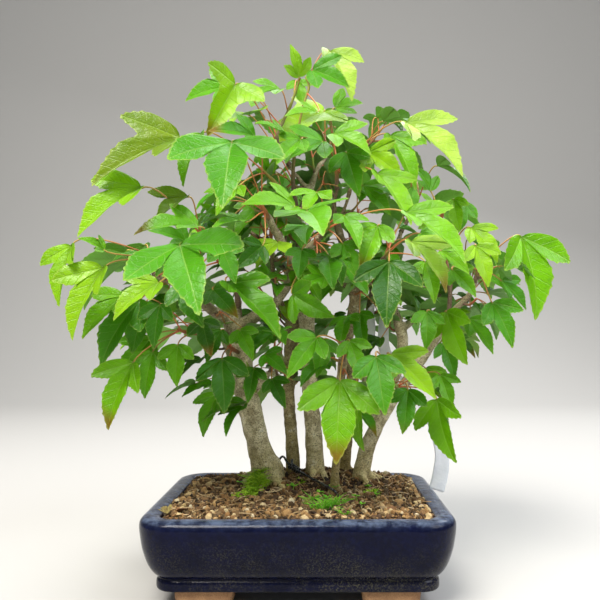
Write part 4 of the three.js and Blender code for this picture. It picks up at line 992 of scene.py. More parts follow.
# %% Shoots and leaf rows
# A leaf row: the stem row that its stalk leaves from, the blade's base and its tip as x, z and
# depth, then roll, fold, lobe length and the lobes' angle where they differ from the usual.
USUAL = {"roll": 0, "fold": 0.3, "lobe": 0.58, "splay": 0.87}
SHOOTS = {
    "left_shoulder": {
        "stem": [[-20.9, 255.3, -11, 2], [-26, 264.9, -20, 1.6], [-29, 271, -27, 0.9]],
        "leaves": [
            [1, -87.8, 318.6, -55, -154, 284, -70, 0.2, 0.45, 0.6],
            [1, -50.3, 315.6, -100, -56.2, 268.6, -132, 0, 0.25, 0.8],
            [2, -33.4, 320, -38, -67.2, 324.5, -55], [1, -50.3, 276.7, -34, -71, 279, -48, 0.2],
            [1, -40, 257.5, -42, -66, 252, -60, 0.5], [1, -28, 240, -34, -48, 222, -44, -0.4],
        ],
    },
    "far_left": {
        "stem": [
            [-70.1, 196.5, 8, 2.6], [-75.3, 222, -12, 1.9], [-73.8, 242, -32, 1.5], [-73.8, 252, -42, 1]
        ],
        "leaves": [
            [3, -116.5, 282.5, -62, -164.3, 246.5, -75, 0.3, 0.45, 0.62],
            [3, -82.6, 275.9, -50, -107, 256, -58, 0.4, 0.5, 0.9],
            [2, -75, 254, -56, -123, 249.5, -68, 0.4, 0.4],
            [2, -61.3, 261, -20, -74, 271, -30, 0, 0.3, 0.75], [1, -84, 243, -8, -112, 252, -14, 0.2],
            [1, -66, 236, 4, -70, 262, 20, 0.3],
        ],
    },
    "left_middle": {
        "stem": [
            [-81.2, 207.5, -6, 2.4], [-88.5, 218.6, -22, 1.8], [-92.9, 224.4, -36, 1.4],
            [-97.4, 228, -43, 0.9]
        ],
        "leaves": [
            [3, -144.4, 223.7, -60, -169.4, 170.8, -70, 0.35, 0.5, 0.62],
            [3, -168, 240, -50, -177.5, 195, -57, 0.5, 0.4],
            [3, -144.4, 236.5, -44, -163.5, 246, -54, 0.3],
            [2, -104, 212.7, -70, -138.5, 186, -82, 0.3, 0.35, 0.6],
            [2, -129, 203, -28, -161.3, 172, -38, 0.3], [1, -117.9, 200, -14, -148.8, 151, -24, 0.2],
            [2, -87.8, 225.9, -56, -86.3, 200, -68, 0.1],
        ],
    },
    "front_left": {
        "stem": [
            [-45.9, 196, 16, 2.4], [-47.3, 207.5, -5, 1.8], [-53.2, 221, -32, 1.4],
            [-62.8, 231, -52, 0.9]
        ],
        "leaves": [
            [3, -88.5, 240, -92, -73.8, 190.6, -128, 0, 0.25, 0.8],
            [3, -84.8, 212.7, -72, -71.6, 180, -88, 0.3],
            [2, -53.2, 212, -55, -14.2, 172, -74, -0.5, 0.5, 0.5],
            [1, -64.3, 207.5, -33, -46.6, 187, -46], [3, -57.6, 238, -60, -47.3, 212, -72],
        ],
    },
    "low_left": {
        "stem": [
            [-50, 174, 26, 2.4], [-66.5, 175, 4, 1.8], [-82.6, 176, -16, 1.4], [-90, 178.5, -24, 0.9]
        ],
        "leaves": [
            [3, -123, 154, -38, -142.9, 104.6, -46, 0.2, 0.4], [3, -108.4, 162, -29, -115, 127.4, -35],
            [2, -90, 167, -26, -91.5, 136, -32], [2, -113.5, 198.7, -6, -123, 160, -10],
            [3, -103, 196.5, -34, -107, 163.4, -40, 0.2], [1, -110, 172, 4, -132, 138, 0],
            [1, -72, 184, -14, -66, 158, -26],
        ],
    },
    "trunk_left": {
        "stem": [[-43, 160, 26, 2], [-50, 164, 10, 1.5], [-53, 166, -2, 0.9]],
        "leaves": [
            [2, -57.6, 157, -14, -54.7, 116.3, -26, 0, 0.2, 0.62],
            [1, -60.6, 131, 8, -72.3, 99.4, 2, 0.3], [2, -44.4, 178, -16, -34, 156, -26],
            [1, -58, 178, 2, -70, 154, -6],
        ],
    },
    "low_middle": {
        "stem": [[-22.3, 146.5, 6, 1.7], [-20, 154, -4, 1.3], [-18, 160, -12, 0.8]],
        "leaves": [
            [2, -26, 160, -22, -9.1, 146, -34], [1, -20.9, 142, -12, -11.3, 120, -22],
            [2, -20, 176, -16, -38, 160, -26, 0.3], [1, -34, 150, -8, -38, 124, -18],
        ],
    },
    "front_fan": {
        "stem": [[12.4, 244.3, -22.5, 1.7], [19.6, 252.4, -34, 1.4], [21, 257, -40, 0.9]],
        "leaves": [
            [1, 77.7, 264.2, -66, 122.5, 228, -82, -0.4, 0.4],
            [1, -4, 268.6, -62, -42.9, 270, -82, 0.2], [2, 4.9, 265, -80, 18, 248, -122, 0, 0.2, 0.62],
            [2, 12.2, 279, -56, 3, 262, -72, 0.2, 0.3, 0.75], [1, 1.2, 237, -48, -1.7, 215, -60],
            [1, 31, 241.5, -44, 41.6, 216, -54], [2, 32, 262, -50, 44, 238, -66, -0.3],
        ],
    },
    "upper_left": {
        "stem": [
            [-1, 250, 16, 2.2], [-11.3, 277, -6, 1.6], [-20, 287.7, -18, 1.3], [-28.2, 295.8, -26, 0.9]
        ],
        "leaves": [
            [3, -72.4, 322, -44, -85.6, 284, -56, 0.6, 0.4], [2, -23, 291, -6, -36, 314, -14, 0.3],
            [3, -45, 284, -40, -62, 262, -52, 0.2], [1, -30, 270, -14, -48, 246, -24],
        ],
    },
    "upper_middle": {
        "stem": [
            [-1.5, 259, 14, 2.2], [-4.7, 281, 5, 1.7], [-5.4, 290, -2, 1.5], [-4.7, 303, -8, 1.2],
            [-3, 318, -14, 1], [1.9, 342, -18, 0.9], [6.3, 356, -16, 0.8], [4.1, 364, -14, 0.7]
        ],
        "leaves": [
            [2, -37.8, 336, -22, -51, 330, -50, 0.3, 0.2, 0.8],
            [7, 9, 369, -8, 36, 356, -14, 0.1, 0.3, 0.75],
            [7, 21.8, 382.6, 2, 38, 347, -8, -0.4, 0.4, 0.6], [6, 12, 338, -36, -11.3, 334.8, -44, 0.3],
            [4, 0.5, 318, -36, -18, 300, -46], [4, -12, 322, -34, -34, 330, -44, 0.5],
        ],
    },
    "top_left": {
        "stem": [
            [-8, 299, 3, 1.9], [-14.6, 311, -2, 1.4], [-17.2, 320, -6, 1.2], [-12.8, 331, -6, 1.1],
            [-7.6, 342, -6, 1], [-3.5, 353, -6, 0.9], [-0.3, 363, -6, 0.8]
        ],
        "leaves": [
            [1, -48, 358.3, -22, -69.4, 320, -35, -0.8, 0.6, 0.6, 1.3],
            [3, -50.3, 356.8, 8, -85, 347.3, 12], [4, -15, 354.6, -4, -36, 348, -14, 0.3, 0.3, 0.85],
            [2, -31.9, 348.7, -6, -59, 340.6, -16], [6, -1, 364, -8, -8, 388, -16, 0.2, 0.3, 0.7],
            [5, -2.5, 361, 8, 3, 341, 2],
        ],
    },
    "top_right": {
        "stem": [[26.9, 281, 22, 1.8], [26.9, 294.3, 16, 1.5], [27, 300, 12, 0.9]],
        "leaves": [
            [2, 24.7, 322, -10, 52.7, 308.3, -22, -0.2, 0.3, 0.75],
            [2, 17.4, 338.4, -5, -22.3, 311.2, -28, 0.2, 0.1, 0.5, 1.4],
            [2, 25.5, 341.4, 22, 46, 345, 28, 0, 0.2, 0.8],
            [1, 16.6, 316.4, -8, -7.6, 304, -22, 0, 0.3, 0.85], [1, 34, 308.3, 0, 43.8, 276, -10, 0.3],
            [1, 56.3, 292.9, -28, 80.6, 254.6, -42, -0.5, 0.4],
            [1, 77.7, 330.3, -14, 121, 292, -28, -0.3, 0.35, 0.62],
            [2, 65.9, 320.8, 18, 84.3, 281, 8, -0.3, 0.5],
            [2, 50.5, 308.3, -14, 75.5, 290, -28, 0, 0.3, 0.62], [1, 46, 284, 14, 66, 262, 6],
        ],
    },
    "right_front": {
        "stem": [[61, 230, -4, 1.7], [64, 234, -16, 1.3], [66, 237, -24, 0.9]],
        "leaves": [
            [2, 81.3, 242.8, -48, 108.6, 206, -62, -0.4, 0.45, 0.62], [1, 88, 249, -24, 108, 238, -32],
            [2, 65.2, 228, -62, 62.2, 179.6, -80, 0, 0.15, 0.62],
            [2, 57, 254.6, -46, 45.3, 221, -58, 0.1], [1, 91.6, 228, -34, 99.7, 198, -46],
            [1, 76, 262, 2, 84, 284, 12, 0.4],
        ],
    },
    "right_top": {
        "stem": [
            [108.8, 184, 8, 1.9], [110, 211, 14, 1.6], [105.6, 238, 16, 1.3], [104.2, 262.7, 12, 1.1],
            [108.6, 271.5, 10, 0.8]
        ],
        "leaves": [
            [3, 100, 266, 0, 83, 268, -10, 0.2, 0.3, 0.8], [3, 101, 258, -4, 96, 234, -14, 0.3],
            [4, 113, 274, 4, 117, 250, -2, 0.5], [4, 119.5, 272, 12, 112.2, 246, 6, -0.3],
            [2, 125.5, 253, -12, 146, 228, -22, -0.1], [2, 103.4, 236, -30, 124, 219, -38],
            [3, 96, 280, 26, 84, 298, 34, 0.3], [1, 128, 222, 26, 150, 208, 34, -0.2],
        ],
    },
    "far_right": {
        "stem": [[128, 213, 1, 1.7], [131, 222, -2, 1.4], [133.6, 228, -5, 0.9]],
        "leaves": [
            [2, 162.2, 246.5, -10, 175.5, 185.5, -16, -0.25, 0.35, 0.63],
            [2, 129, 240, -26, 139, 209.7, -34], [1, 141, 198, -14, 157, 165, -22, 0, 0.3, 0.62],
            [1, 112, 222, -26, 130, 203, -36, 0.2], [1, 148, 214, 16, 166, 192, 22, -0.3],
        ],
    },
    "right_middle": {
        "stem": [[103, 176, 10, 1.9], [104, 180, -4, 1.5], [103, 184, -16, 0.9]],
        "leaves": [
            [2, 107.8, 191.4, -28, 123.3, 152.4, -36, 0.8], [2, 93, 191.4, -30, 93, 163, -38],
            [1, 105, 168, -8, 114, 142, -16], [1, 124, 186, -2, 142, 160, -8, -0.2],
        ],
    },
    "low_right": {
        "stem": [[73.3, 134, 22, 2], [71, 136, 2, 1.5], [68.8, 140, -16, 0.9]],
        "leaves": [
            [2, 55.6, 158.3, -62, 61.5, 115, -76, 0, 0.2], [2, 66.5, 160, -46, 99, 126.6, -58, -0.2],
            [2, 79, 134, -44, 76.2, 101, -54], [1, 100.5, 127, -28, 113, 79.6, -38, 0.8],
            [1, 102.7, 145, -14, 111.5, 119, -22], [1, 92, 150, 26, 104, 126, 30],
        ],
    },
    "low_front": {
        "stem": [[31.3, 154.6, -22, 1.8], [32.8, 162, -30, 1.4], [33.4, 167, -35, 0.9]],
        "leaves": [
            [2, 29.1, 140.6, -58, 26.2, 78.8, -74, 0, 0.15, 0.63],
            [2, 12, 172.2, -58, -9.8, 142.8, -72], [1, 17, 171, -44, 12, 143, -56, -0.2],
            [2, 36, 170, -50, 46, 141, -60], [1, 43.8, 131, -30, 46, 88.4, -38, 0.9],
        ],
    },
    "middle_left": {
        "stem": [[-21, 236, 24, 1.6], [-21.6, 248, 19, 1.3], [-22, 256, 16, 0.9]],
        "leaves": [
            [2, -32, 262, 6, -46, 244, -2, 0.2], [1, -8, 254, 2, 4, 234, -8],
            [1, -38, 240, 12, -56, 222, 4, 0.2], [2, -16, 272, 24, -10, 294, 34, 0.3],
        ],
    },
    "middle": {
        "stem": [[16.5, 231, 12, 1.8], [14, 238, 2, 1.4], [13, 244, -5, 0.9]],
        "leaves": [
            [1, 18, 217, -10, -5.4, 208, -20], [1, -5.4, 204, -20, 25.5, 187, -36, 0.7],
            [2, 26, 236, -18, 30, 210, -28], [1, 32, 226, 0, 50, 204, -8],
        ],
    },
}

# Shoots round the back: where each starts, its heading, length and number of leaf pairs
SIDE_SHOOTS = {
    "back_left_low": [[-58, 174, 56, 2.3], [-0.9, 0.4, 0.3], 28, 2],
    "back_left": [[-28, 244, 66, 1.9], [-0.8, 0.2, 0.5], 34, 2],
    "back_left_top": [[-21, 240, 23, 1.4], [-0.5, 0.7, 0.9], 42, 3],
    "left_end": [[-107, 218.6, -24, 1.7], [-0.4, 0.9, 0.3], 34, 3],
    "left_back": [[-81.2, 207.5, -6, 2.6], [-0.6, 0.9, 0.2], 40, 2],
    "back_middle": [[2, 246, 66, 1.7], [-0.1, 0.5, 0.8], 30, 3],
    "back_top": [[22, 306, 26, 1.3], [-0.2, 0.9, 0.7], 38, 3],
    "back_top_right": [[42, 306, 42, 1.3], [0.6, 0.4, 0.6], 32, 3],
    "back_right_top": [[74, 250, 50, 1.7], [0.5, 0.4, 0.8], 38, 3],
    "back_right_middle": [[36, 250, 66, 1.6], [0.3, 0.6, 0.6], 28, 2],
    "back_right": [[110, 214, 58, 1.7], [0.5, 0.4, 0.5], 28, 2],
    "back_right_low": [[54, 214, 62, 2.2], [0.5, 0.7, -0.2], 26, 2],
    "right_back": [[121, 200.2, 4, 2.3], [0.4, 1, 0.1], 36, 3],
    "back_low": [[38, 184, 40, 4], [0.1, 1, -0.1], 36, 2],
    "back_low_left": [[-7.6, 148.7, 37, 4], [-0.3, 1, 0.2], 36, 2],
}
LEAF_RULE = {"seed": 20261, "stalk": (14, 28), "length": (36, 52), "spread": 0.9,
             "droop": (0.35, 1.1), "roll": 0.35}
SHIFTS = [
    [0, 0], [-5, 0], [5, 0], [-5, 0.3], [5, -0.3], [-10, 0], [10, 0], [-10, -0.3], [10, 0.3], [-16, 0],
    [16, 0], [-16, 0.4], [16, -0.4], [-23, 0.2], [23, -0.2], [-30, 0], [30, 0],
]

print(len(SHOOTS), "shoots in front,", len(SIDE_SHOOTS), "behind")

# %% [markdown]
# ### Where each leaf is
#
# The solids place a leaf by a row, slide it a little along the line of sight where it would touch
# a neighbour, and keep the first place that is free. The same choices are worked out here, and
# the one whose tip is found in the solid is the leaf's place. So every fine leaf lies in its
# solid one.

# %% Leaf places
TOWARDS = unit([0, -0.9, 0.44])
ROOT_BACK = 0.3
UP = np.array([0.0, 0.0, 1.0])


def turned(vector, axis, angle):
    return (vector * math.cos(angle) + np.cross(axis, vector) * math.sin(angle)
            + axis * (axis @ vector) * (1 - math.cos(angle)))


def leaf_from_row(row, stem):
    at, bx, bz, bd, tx, tz, td = row[:7]
    roll, fold, lobe, splay = [*row[7:], *list(USUAL.values())[len(row) - 7 :]]
    root = placed(*stem[at][:3])
    if at > 1:
        root = root + (placed(*stem[at - 1][:3]) - root) * ROOT_BACK
    return {"root": root, "base": placed(bx, bz, bd), "tip": placed(tx, tz, td), "facing": TOWARDS,
            "roll": roll, "fold": fold, "lobe": lobe, "splay": splay}


class Draw:
    """Draws between two numbers, always the same"""

    def __init__(self, seed):
        self.state = seed

    def __call__(self, low=0.0, high=1.0):
        self.state = self.state * 16807 % 2147483647
        return low + (high - low) * (self.state / 2147483647)


def side_shoot(draw, start, heading, length, pairs):
    begin = placed(*start[:3])
    along = unit(heading)
    level = unit(np.cross(UP, along))
    cross = np.cross(along, level)
    places = [begin]
    leaves = []
    for k in range(pairs):
        share = (k + 1) / pairs
        node = begin + along * length * share + UP * length * 0.15 * share * share
        places.append(node)
        for way in (-1, 1):
            turn = (math.pi / 2 if k % 2 else 0) + draw(-0.5, 0.5)
            out = level * way * math.cos(turn) + cross * way * math.sin(turn)
            stalk_way = unit(along * 0.75 + out * LEAF_RULE["spread"] + UP * 0.25)
            base = node + stalk_way * draw(*LEAF_RULE["stalk"])
            hang = unit([stalk_way[0], stalk_way[1], 0])
            hang[2] = -draw(*LEAF_RULE["droop"])
            size = draw(*LEAF_RULE["length"]) * (1 - 0.12 * k)
            tip = base + unit(hang) * size
            facing = unit([stalk_way[0], stalk_way[1], 1.3])
            roll = draw(-LEAF_RULE["roll"], LEAF_RULE["roll"])
            fold, lobe = draw(0.15, 0.5), draw(0.52, 0.68)
            root = node if k == 0 else node + (places[k] - node) * ROOT_BACK
            leaves.append({"root": root, "base": base, "tip": tip, "facing": facing, "roll": roll,
                           "fold": fold, "lobe": lobe, "splay": draw(0.78, 1)})
    radii = [start[3] * (1 - 0.6 * k / pairs) for k in range(pairs + 1)]
    return places, radii, leaves


def shifted(leaf, slide, turn):
    eye = np.array([EYE["x"], -EYE["distance"], EYE["z"]])
    k = 1 + slide / (leaf["base"][1] + EYE["distance"])
    moved = {key: eye + (leaf[key] - eye) * k for key in ("base", "tip")}
    return {**leaf, **moved, "roll": leaf["roll"] + turn}


def blade_frame(leaf):
    axis = leaf["tip"] - leaf["base"]
    length = np.linalg.norm(axis)
    axis = axis / length
    square = unit(leaf["facing"] - axis * (leaf["facing"] @ axis))
    up = turned(square, axis, leaf["roll"])
    return length, axis, up, np.cross(axis, up)


print("a leaf of the usual form:", USUAL)

# %% [markdown]
# The points of each solid go into a tree that finds the nearest one to a place. A leaf lies in
# its solid where the tip of the blade and the tip of a lobe are both nearer than 0.6 mm to one.

# %% Find each leaf in its solid
FOUND_WITHIN = 0.6


def in_solid(name, leaf):
    """The leaf in the place where the solid has its tip and its lobe, or None"""
    tree = solid_points[name]
    for slide, turn in SHIFTS:
        moved = shifted(leaf, slide, turn)
        length, axis, up, side = blade_frame(moved)
        reach = moved["lobe"] * math.sin(moved["splay"])
        lobe = (moved["base"] + side * reach * length * math.cos(moved["fold"])
                + axis * moved["lobe"] * math.cos(moved["splay"]) * length)
        along = moved["lobe"] * math.cos(moved["splay"])
        rise = math.tan(moved["fold"]) * reach + 0.07 * 4 * along * (1 - along)
        lobe = lobe + up * rise * math.cos(moved["fold"]) * length
        near = [tree.find(Vector(spot))[2] for spot in (moved["tip"], lobe)]
        if max(near) < FOUND_WITHIN:
            return moved
    return None


solid_points = {}
for name in [*SHOOTS, *SIDE_SHOOTS]:
    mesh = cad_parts["leaves_" + name].data
    tree = KDTree(len(mesh.vertices))
    for vertex in mesh.vertices:
        tree.insert(Vector(np.array(vertex.co) / MM - ORIGIN), vertex.index)
    tree.balance()
    solid_points[name] = tree

shoots = {}
for name, shoot in SHOOTS.items():
    leaves = [in_solid(name, leaf_from_row(row, shoot["stem"])) for row in shoot["leaves"]]
    places = [placed(*row[:3]) for row in shoot["stem"]]
    shoots[name] = {"places": places, "radii": [row[3] for row in shoot["stem"]], "leaves": leaves}
draw = Draw(LEAF_RULE["seed"])
for name, (start, heading, length, pairs) in SIDE_SHOOTS.items():
    places, radii, leaves = side_shoot(draw, start, heading, length, pairs)
    shoots[name] = {"places": places, "radii": radii, "leaves": [in_solid(name, leaf) for leaf in leaves]}
for name, shoot in shoots.items():
    missing = [i for i, leaf in enumerate(shoot["leaves"]) if leaf is None]
    if missing:
        print(name, "has no solid leaf for rows", missing)
    shoot["leaves"] = [leaf for leaf in shoot["leaves"] if leaf is not None]
print("leaves:", sum(len(shoot["leaves"]) for shoot in shoots.values()))

# %% [markdown]
# ### The blade's outline
#
# Each half of the outline is three smooth curves: round the back of the side lobe to its tip,
# back into the notch, and out along the middle lobe to its drawn-out tip. A side lobe is a
# pointed oval about its own vein, so its points are written as shares of its length along and
# across that vein, and one set serves every lobe length and angle. Small forward teeth run along
# the edge.

# %% Half outline
SIDE_BACK = [(0.09, 0.12), (0.28, 0.21), (0.5, 0.245), (0.7, 0.205), (0.87, 0.11), (0.96, 0.035), (1, 0)]
SIDE_FRONT = [(1, 0), (0.92, -0.07), (0.8, -0.145), (0.69, -0.2)]
MIDDLE = [(0.19, 0.4), (0.202, 0.5), (0.186, 0.61), (0.143, 0.73), (0.09, 0.84), (0.042, 0.93), (0, 1)]
TOOTH = 0.018
EDGE_STEP = 0.038


def half_outline(lobe, splay, rng, step=EDGE_STEP):
    vein = np.array([math.sin(splay), math.cos(splay)])
    across = np.array([math.cos(splay), -math.sin(splay)])
    full, wide, deep = rng.uniform(0.85, 1.12), rng.uniform(0.88, 1.12), rng.uniform(0.33, 0.4)
    back, front = (
        [lobe * (share * vein + wide_share * full * across) for share, wide_share in row]
        for row in (SIDE_BACK, SIDE_FRONT)
    )
    notch = deep * np.array([math.sin(splay * 0.56), math.cos(splay * 0.56)])
    middle = [np.array([x * wide, y]) for x, y in MIDDLE]
    edge = []
    for curve in ([np.zeros(2), *back], [*front, notch], [notch, *middle]):
        smooth = smooth_path([[x, y, 0] for x, y in curve], step=step)[:, :2]
        way = np.gradient(smooth, axis=0)
        out = np.stack([way[:, 1], -way[:, 0]], 1) / np.linalg.norm(way, axis=1, keepdims=True)
        tooth = TOOTH * (np.arange(len(smooth)) % 2) * rng.uniform(0.3, 1.2, len(smooth))
        tooth *= np.clip(np.linalg.norm(smooth, axis=1) * 5 - 1.4, 0, 1)
        tooth[-1] = 0
        edge.append((smooth + out * tooth[:, None])[1:])
    return np.vstack(edge)[:-1]


print("points along half an edge:", len(half_outline(0.58, 0.87, np.random.default_rng(1))))

# %% [markdown]
# ### Folds and ripples
#
# Scaled copies of the outline make rings round the stalk, and each point then gets a height: the
# fold along the midrib, the arch from stalk to tip, a soft pillow between the main veins, a
# ripple that grows towards the edge and a tip that hangs. The upper and the lower face lie a
# third of a millimetre apart and close at the edge. The narrow rim between them has points of
# its own, so that the upper face stays smoothly lit right up to its edge. Small leaves inside the
# crown and dry scraps get fewer rings and a coarser edge.

# %% One leaf blade
RINGS = [0.2, 0.42, 0.66, 0.86, 1.0]
INNER_RINGS = [0.36, 0.7, 1.0]
INNER_STEP = 0.052
BLADE_THICK = 0.34


def blade_mesh(leaf, rng, rings=RINGS):
    """Points, faces, flat coordinates and, for each point, its face and nearness to the edge"""
    length, axis, up, side = blade_frame(leaf)
    step = EDGE_STEP if rings is RINGS else INNER_STEP
    right = half_outline(leaf["lobe"], leaf["splay"], rng, step)
    left = half_outline(leaf["lobe"], leaf["splay"], rng, step) * [-1, 1]
    outline = np.vstack([[0.006, 0], right, [[0, 1.0]], left[::-1], [-0.006, 0]])
    flat = np.vstack([[[0, 0]]] + [outline * ring for ring in rings])
    share = np.concatenate([[0]] + [np.full(len(outline), ring) for ring in rings])
    x, y = flat.T
    turn = np.arctan2(np.abs(x), y)
    fold, splay = leaf["fold"], leaf["splay"]
    height = math.tan(fold) * np.abs(x) + 0.28 * y * (1 - y)
    reach = np.hypot(x, y)
    pillow = np.abs(np.sin(np.clip(turn / splay, 0, 1.6) * math.pi)) * share * (1 - 0.45 * share)
    height += 0.055 * pillow
    phases = rng.uniform(0, 6, 4)
    ripple = np.sin(turn * 7 * np.sign(x) + phases[0]) + 0.7 * np.sin(y * 13 + phases[1] + np.sign(x) * 2)
    height += rng.uniform(0.008, 0.018) * ripple * share**2.5 * np.clip(np.abs(x) * 8, 0, 1)
    height -= rng.uniform(0.0, 0.05) * np.clip((y - 0.55) / 0.45, 0, 1) ** 2
    side_tip = np.clip((reach / leaf["lobe"] - 0.55) / 0.45, 0, 1) ** 2
    height -= rng.uniform(0.0, 0.04) * side_tip * (np.abs(turn - splay) < splay * 0.5)
    bend = rng.uniform(-0.05, 0.05)
    sideways = x * math.cos(fold) + bend * np.clip(y, 0, 1) ** 2 * np.where(y > 0.5, (y - 0.5) * 1.5, 0)
    middle = (leaf["base"] + np.outer(sideways * length, side) + np.outer(y * length, axis)
              + np.outer(height * math.cos(fold) * length, up))
    thick = BLADE_THICK * (1 - 0.7 * share**4)
    upper = middle + np.outer(thick / 2, up)
    lower = middle - np.outer(thick / 2, up)
    around = len(outline)
    faces = []
    for j in range(around - 1):
        faces.append([0, 1 + j, 2 + j])
        for ring in range(len(rings) - 1):
            a = 1 + ring * around + j
            faces.append([a, a + around, a + around + 1, a + 1])
    count = len(flat)
    faces += [[count + i for i in reversed(face)] for face in faces]
    for j in range(around - 1):
        a = 2 * count + j
        faces.append([a, a + around, a + around + 1, a + 1])
    warp = 0.87 / splay
    drawn = np.stack([reach * np.sin(turn * warp) * np.sign(x), reach * np.cos(turn * warp)], 1)
    rim = slice(count - around, count)
    points = np.vstack([upper, lower, upper[rim], lower[rim]])
    nearness = np.concatenate([share * 0.45, 0.55 + share * 0.45, np.full(2 * around, 0.45)])
    return points, faces, np.vstack([drawn, drawn, drawn[rim], drawn[rim]]) * 0.5 + [0.5, 0.25], nearness


print("blade rings:", len(RINGS))

# %% [markdown]
# ### Leaf material
#
# A living leaf is waxy above, so it has a soft gloss, and pale and dull below. Light from behind
# comes through it, yellower than it went in. The veins are drawn from the leaf's own flat
# coordinates: three main veins from the stalk, side veins that leave them at a slant, and a fine
# net between, with the blade quilted up between the veins. The tone layer makes some leaves lime,
# some deep green and some olive, and it browns a few tips.

# %% Veins of a leaf
leaf_green, tree = new_material("waxy_maple_leaf")
tone, spare, face_and_edge = toned(tree)
under = add(tree, "Math", face_and_edge, 0.5, operation="GREATER_THAN")
edge = add(tree, "ValToRGB", face_and_edge,
           stops=[(0.43, 0), (0.445, 1), (0.46, 0), (0.98, 0), (1, 1)])
flat = add(tree, "UVMap", uv_map="flat")
parts = add(tree, "SeparateXYZ", flat)
across, along = (
    add(tree, "Math", add(tree, "Math", parts.outputs[axis], middle, operation="SUBTRACT"), 2,
        operation="MULTIPLY")
    for axis, middle in (("X", 0.5), ("Y", 0.25))
)
width = add(tree, "Math", across, operation="ABSOLUTE")
LOBE_TURN = 0.87


def side_veins(tree, off, on, spacing):
    """Lines of the side veins of one lobe, from the distance off its main vein and along it"""
    slant = add(tree, "Math", off, 0.95, operation="MULTIPLY")
    bent = add(tree, "Math", slant, add(tree, "Math", wander, 0.06, operation="MULTIPLY"))
    row = add(tree, "Math", on, bent, operation="SUBTRACT")
    wave = add(tree, "Math", add(tree, "Math", row, spacing, operation="DIVIDE"), 0.5, operation="PINGPONG")
    return add(tree, "ValToRGB", wave, stops=[(0, 1), (0.07, 0)])


def turned_sum(tree, first, second, turn):
    """first times the sine of the turn plus second times its cosine"""
    return add(tree, "Math", add(tree, "Math", first, math.sin(turn), operation="MULTIPLY"),
               add(tree, "Math", second, math.cos(turn), operation="MULTIPLY"))


mottle = add(tree, "TexNoise", flat, Scale=5, Detail=4)
wander = add(tree, "TexNoise", flat, Scale=7, Detail=2)
grain = add(tree, "TexNoise", flat, Scale=120, Detail=3)
lobe_on = turned_sum(tree, width, along, LOBE_TURN)
lobe_off = add(tree, "Math", turned_sum(tree, width, along, LOBE_TURN + math.pi / 2), operation="ABSOLUTE")
twice = add(tree, "Math", width, 2, operation="MULTIPLY")
in_lobe = add(tree, "Math", twice, along, operation="GREATER_THAN")
midrib = add(tree, "ValToRGB", width, stops=[(0, 1), (0.005, 0.8), (0.014, 0)])
lobe_vein = add(tree, "ValToRGB", lobe_off, stops=[(0, 1), (0.005, 0.8), (0.012, 0)])
main_veins = add(tree, "Math", midrib, lobe_vein, operation="MAXIMUM")
middle_side = side_veins(tree, width, along, 0.115)
lobe_side = side_veins(tree, lobe_off, lobe_on, 0.1)
chosen = add(tree, "Mix", in_lobe, middle_side, lobe_side, data_type="FLOAT")
net = add(tree, "TexVoronoi", flat, Scale=38, feature="DISTANCE_TO_EDGE")
net_lines = add(tree, "ValToRGB", net, stops=[(0, 1), (0.07, 0)])
print("veins drawn with", len(tree.nodes), "nodes")

# %% [markdown]
# The tone picks the green of the blade. Paler veins, brown tips and spots, a lighter rim and the
# pale lower face are coats over it. A glossy surface is then mixed with light from behind.

# %% Leaf colours and gloss
leaf_greens = [
    (0, "#1d5404"), (0.22, "#357e04"), (0.45, "#58ab04"), (0.65, "#84c804"), (0.8, "#a9d814"),
    (0.92, "#c4e25c"), (0.97, "#7d9416"), (1, "#668a0c"),
]
body = painted(tree, add(tree, "ValToRGB", tone, stops=leaf_greens),
               (mottle, [(0.4, 0), (0.7, 0.5)], "#2f7206"))
fresh = painted(tree, body, (0.5, None, "#bcdc6a"))
faint_net = add(tree, "Math", net_lines, 0.4, operation="MULTIPLY")
fine_veins = add(tree, "Math", chosen, faint_net, operation="MAXIMUM")
fine_veins = add(tree, "Math", fine_veins, 0.34, operation="MULTIPLY")
veins = add(tree, "Math", main_veins, 0.55, operation="MULTIPLY")
away = add(tree, "VectorMath", flat, (0.5, 0.25, 0), operation="DISTANCE")
away = add(tree, "Math", away, add(tree, "Math", mottle, 0.08, operation="MULTIPLY"))
rim = add(tree, "ValToRGB", away, stops=[(0.37, 0), (0.47, 1)])
browned = add(tree, "ValToRGB", spare, stops=[(0.88, 0), (0.94, 0.85)])
brown = add(tree, "Math", rim, browned, operation="MULTIPLY")
spots = add(tree, "ValToRGB", add(tree, "TexVoronoi", flat, Scale=9), stops=[(0.03, 0.7), (0.06, 0)])
few = add(tree, "ValToRGB", spare, stops=[(0.2, 1), (0.3, 0)])
spotted = add(tree, "Math", spots, few, operation="MULTIPLY")
edge = add(tree, "Math", edge, 0.5, operation="MULTIPLY")
body = painted(
    tree, body, (fine_veins, None, fresh), (veins, None, fresh), (brown, None, "#95591a"),
    (spotted, None, "#8a6a34"), (edge, None, "#c3cf62"))
body = painted(tree, body, (under, None, painted(tree, body, (0.6, None, "#a5c883"))))

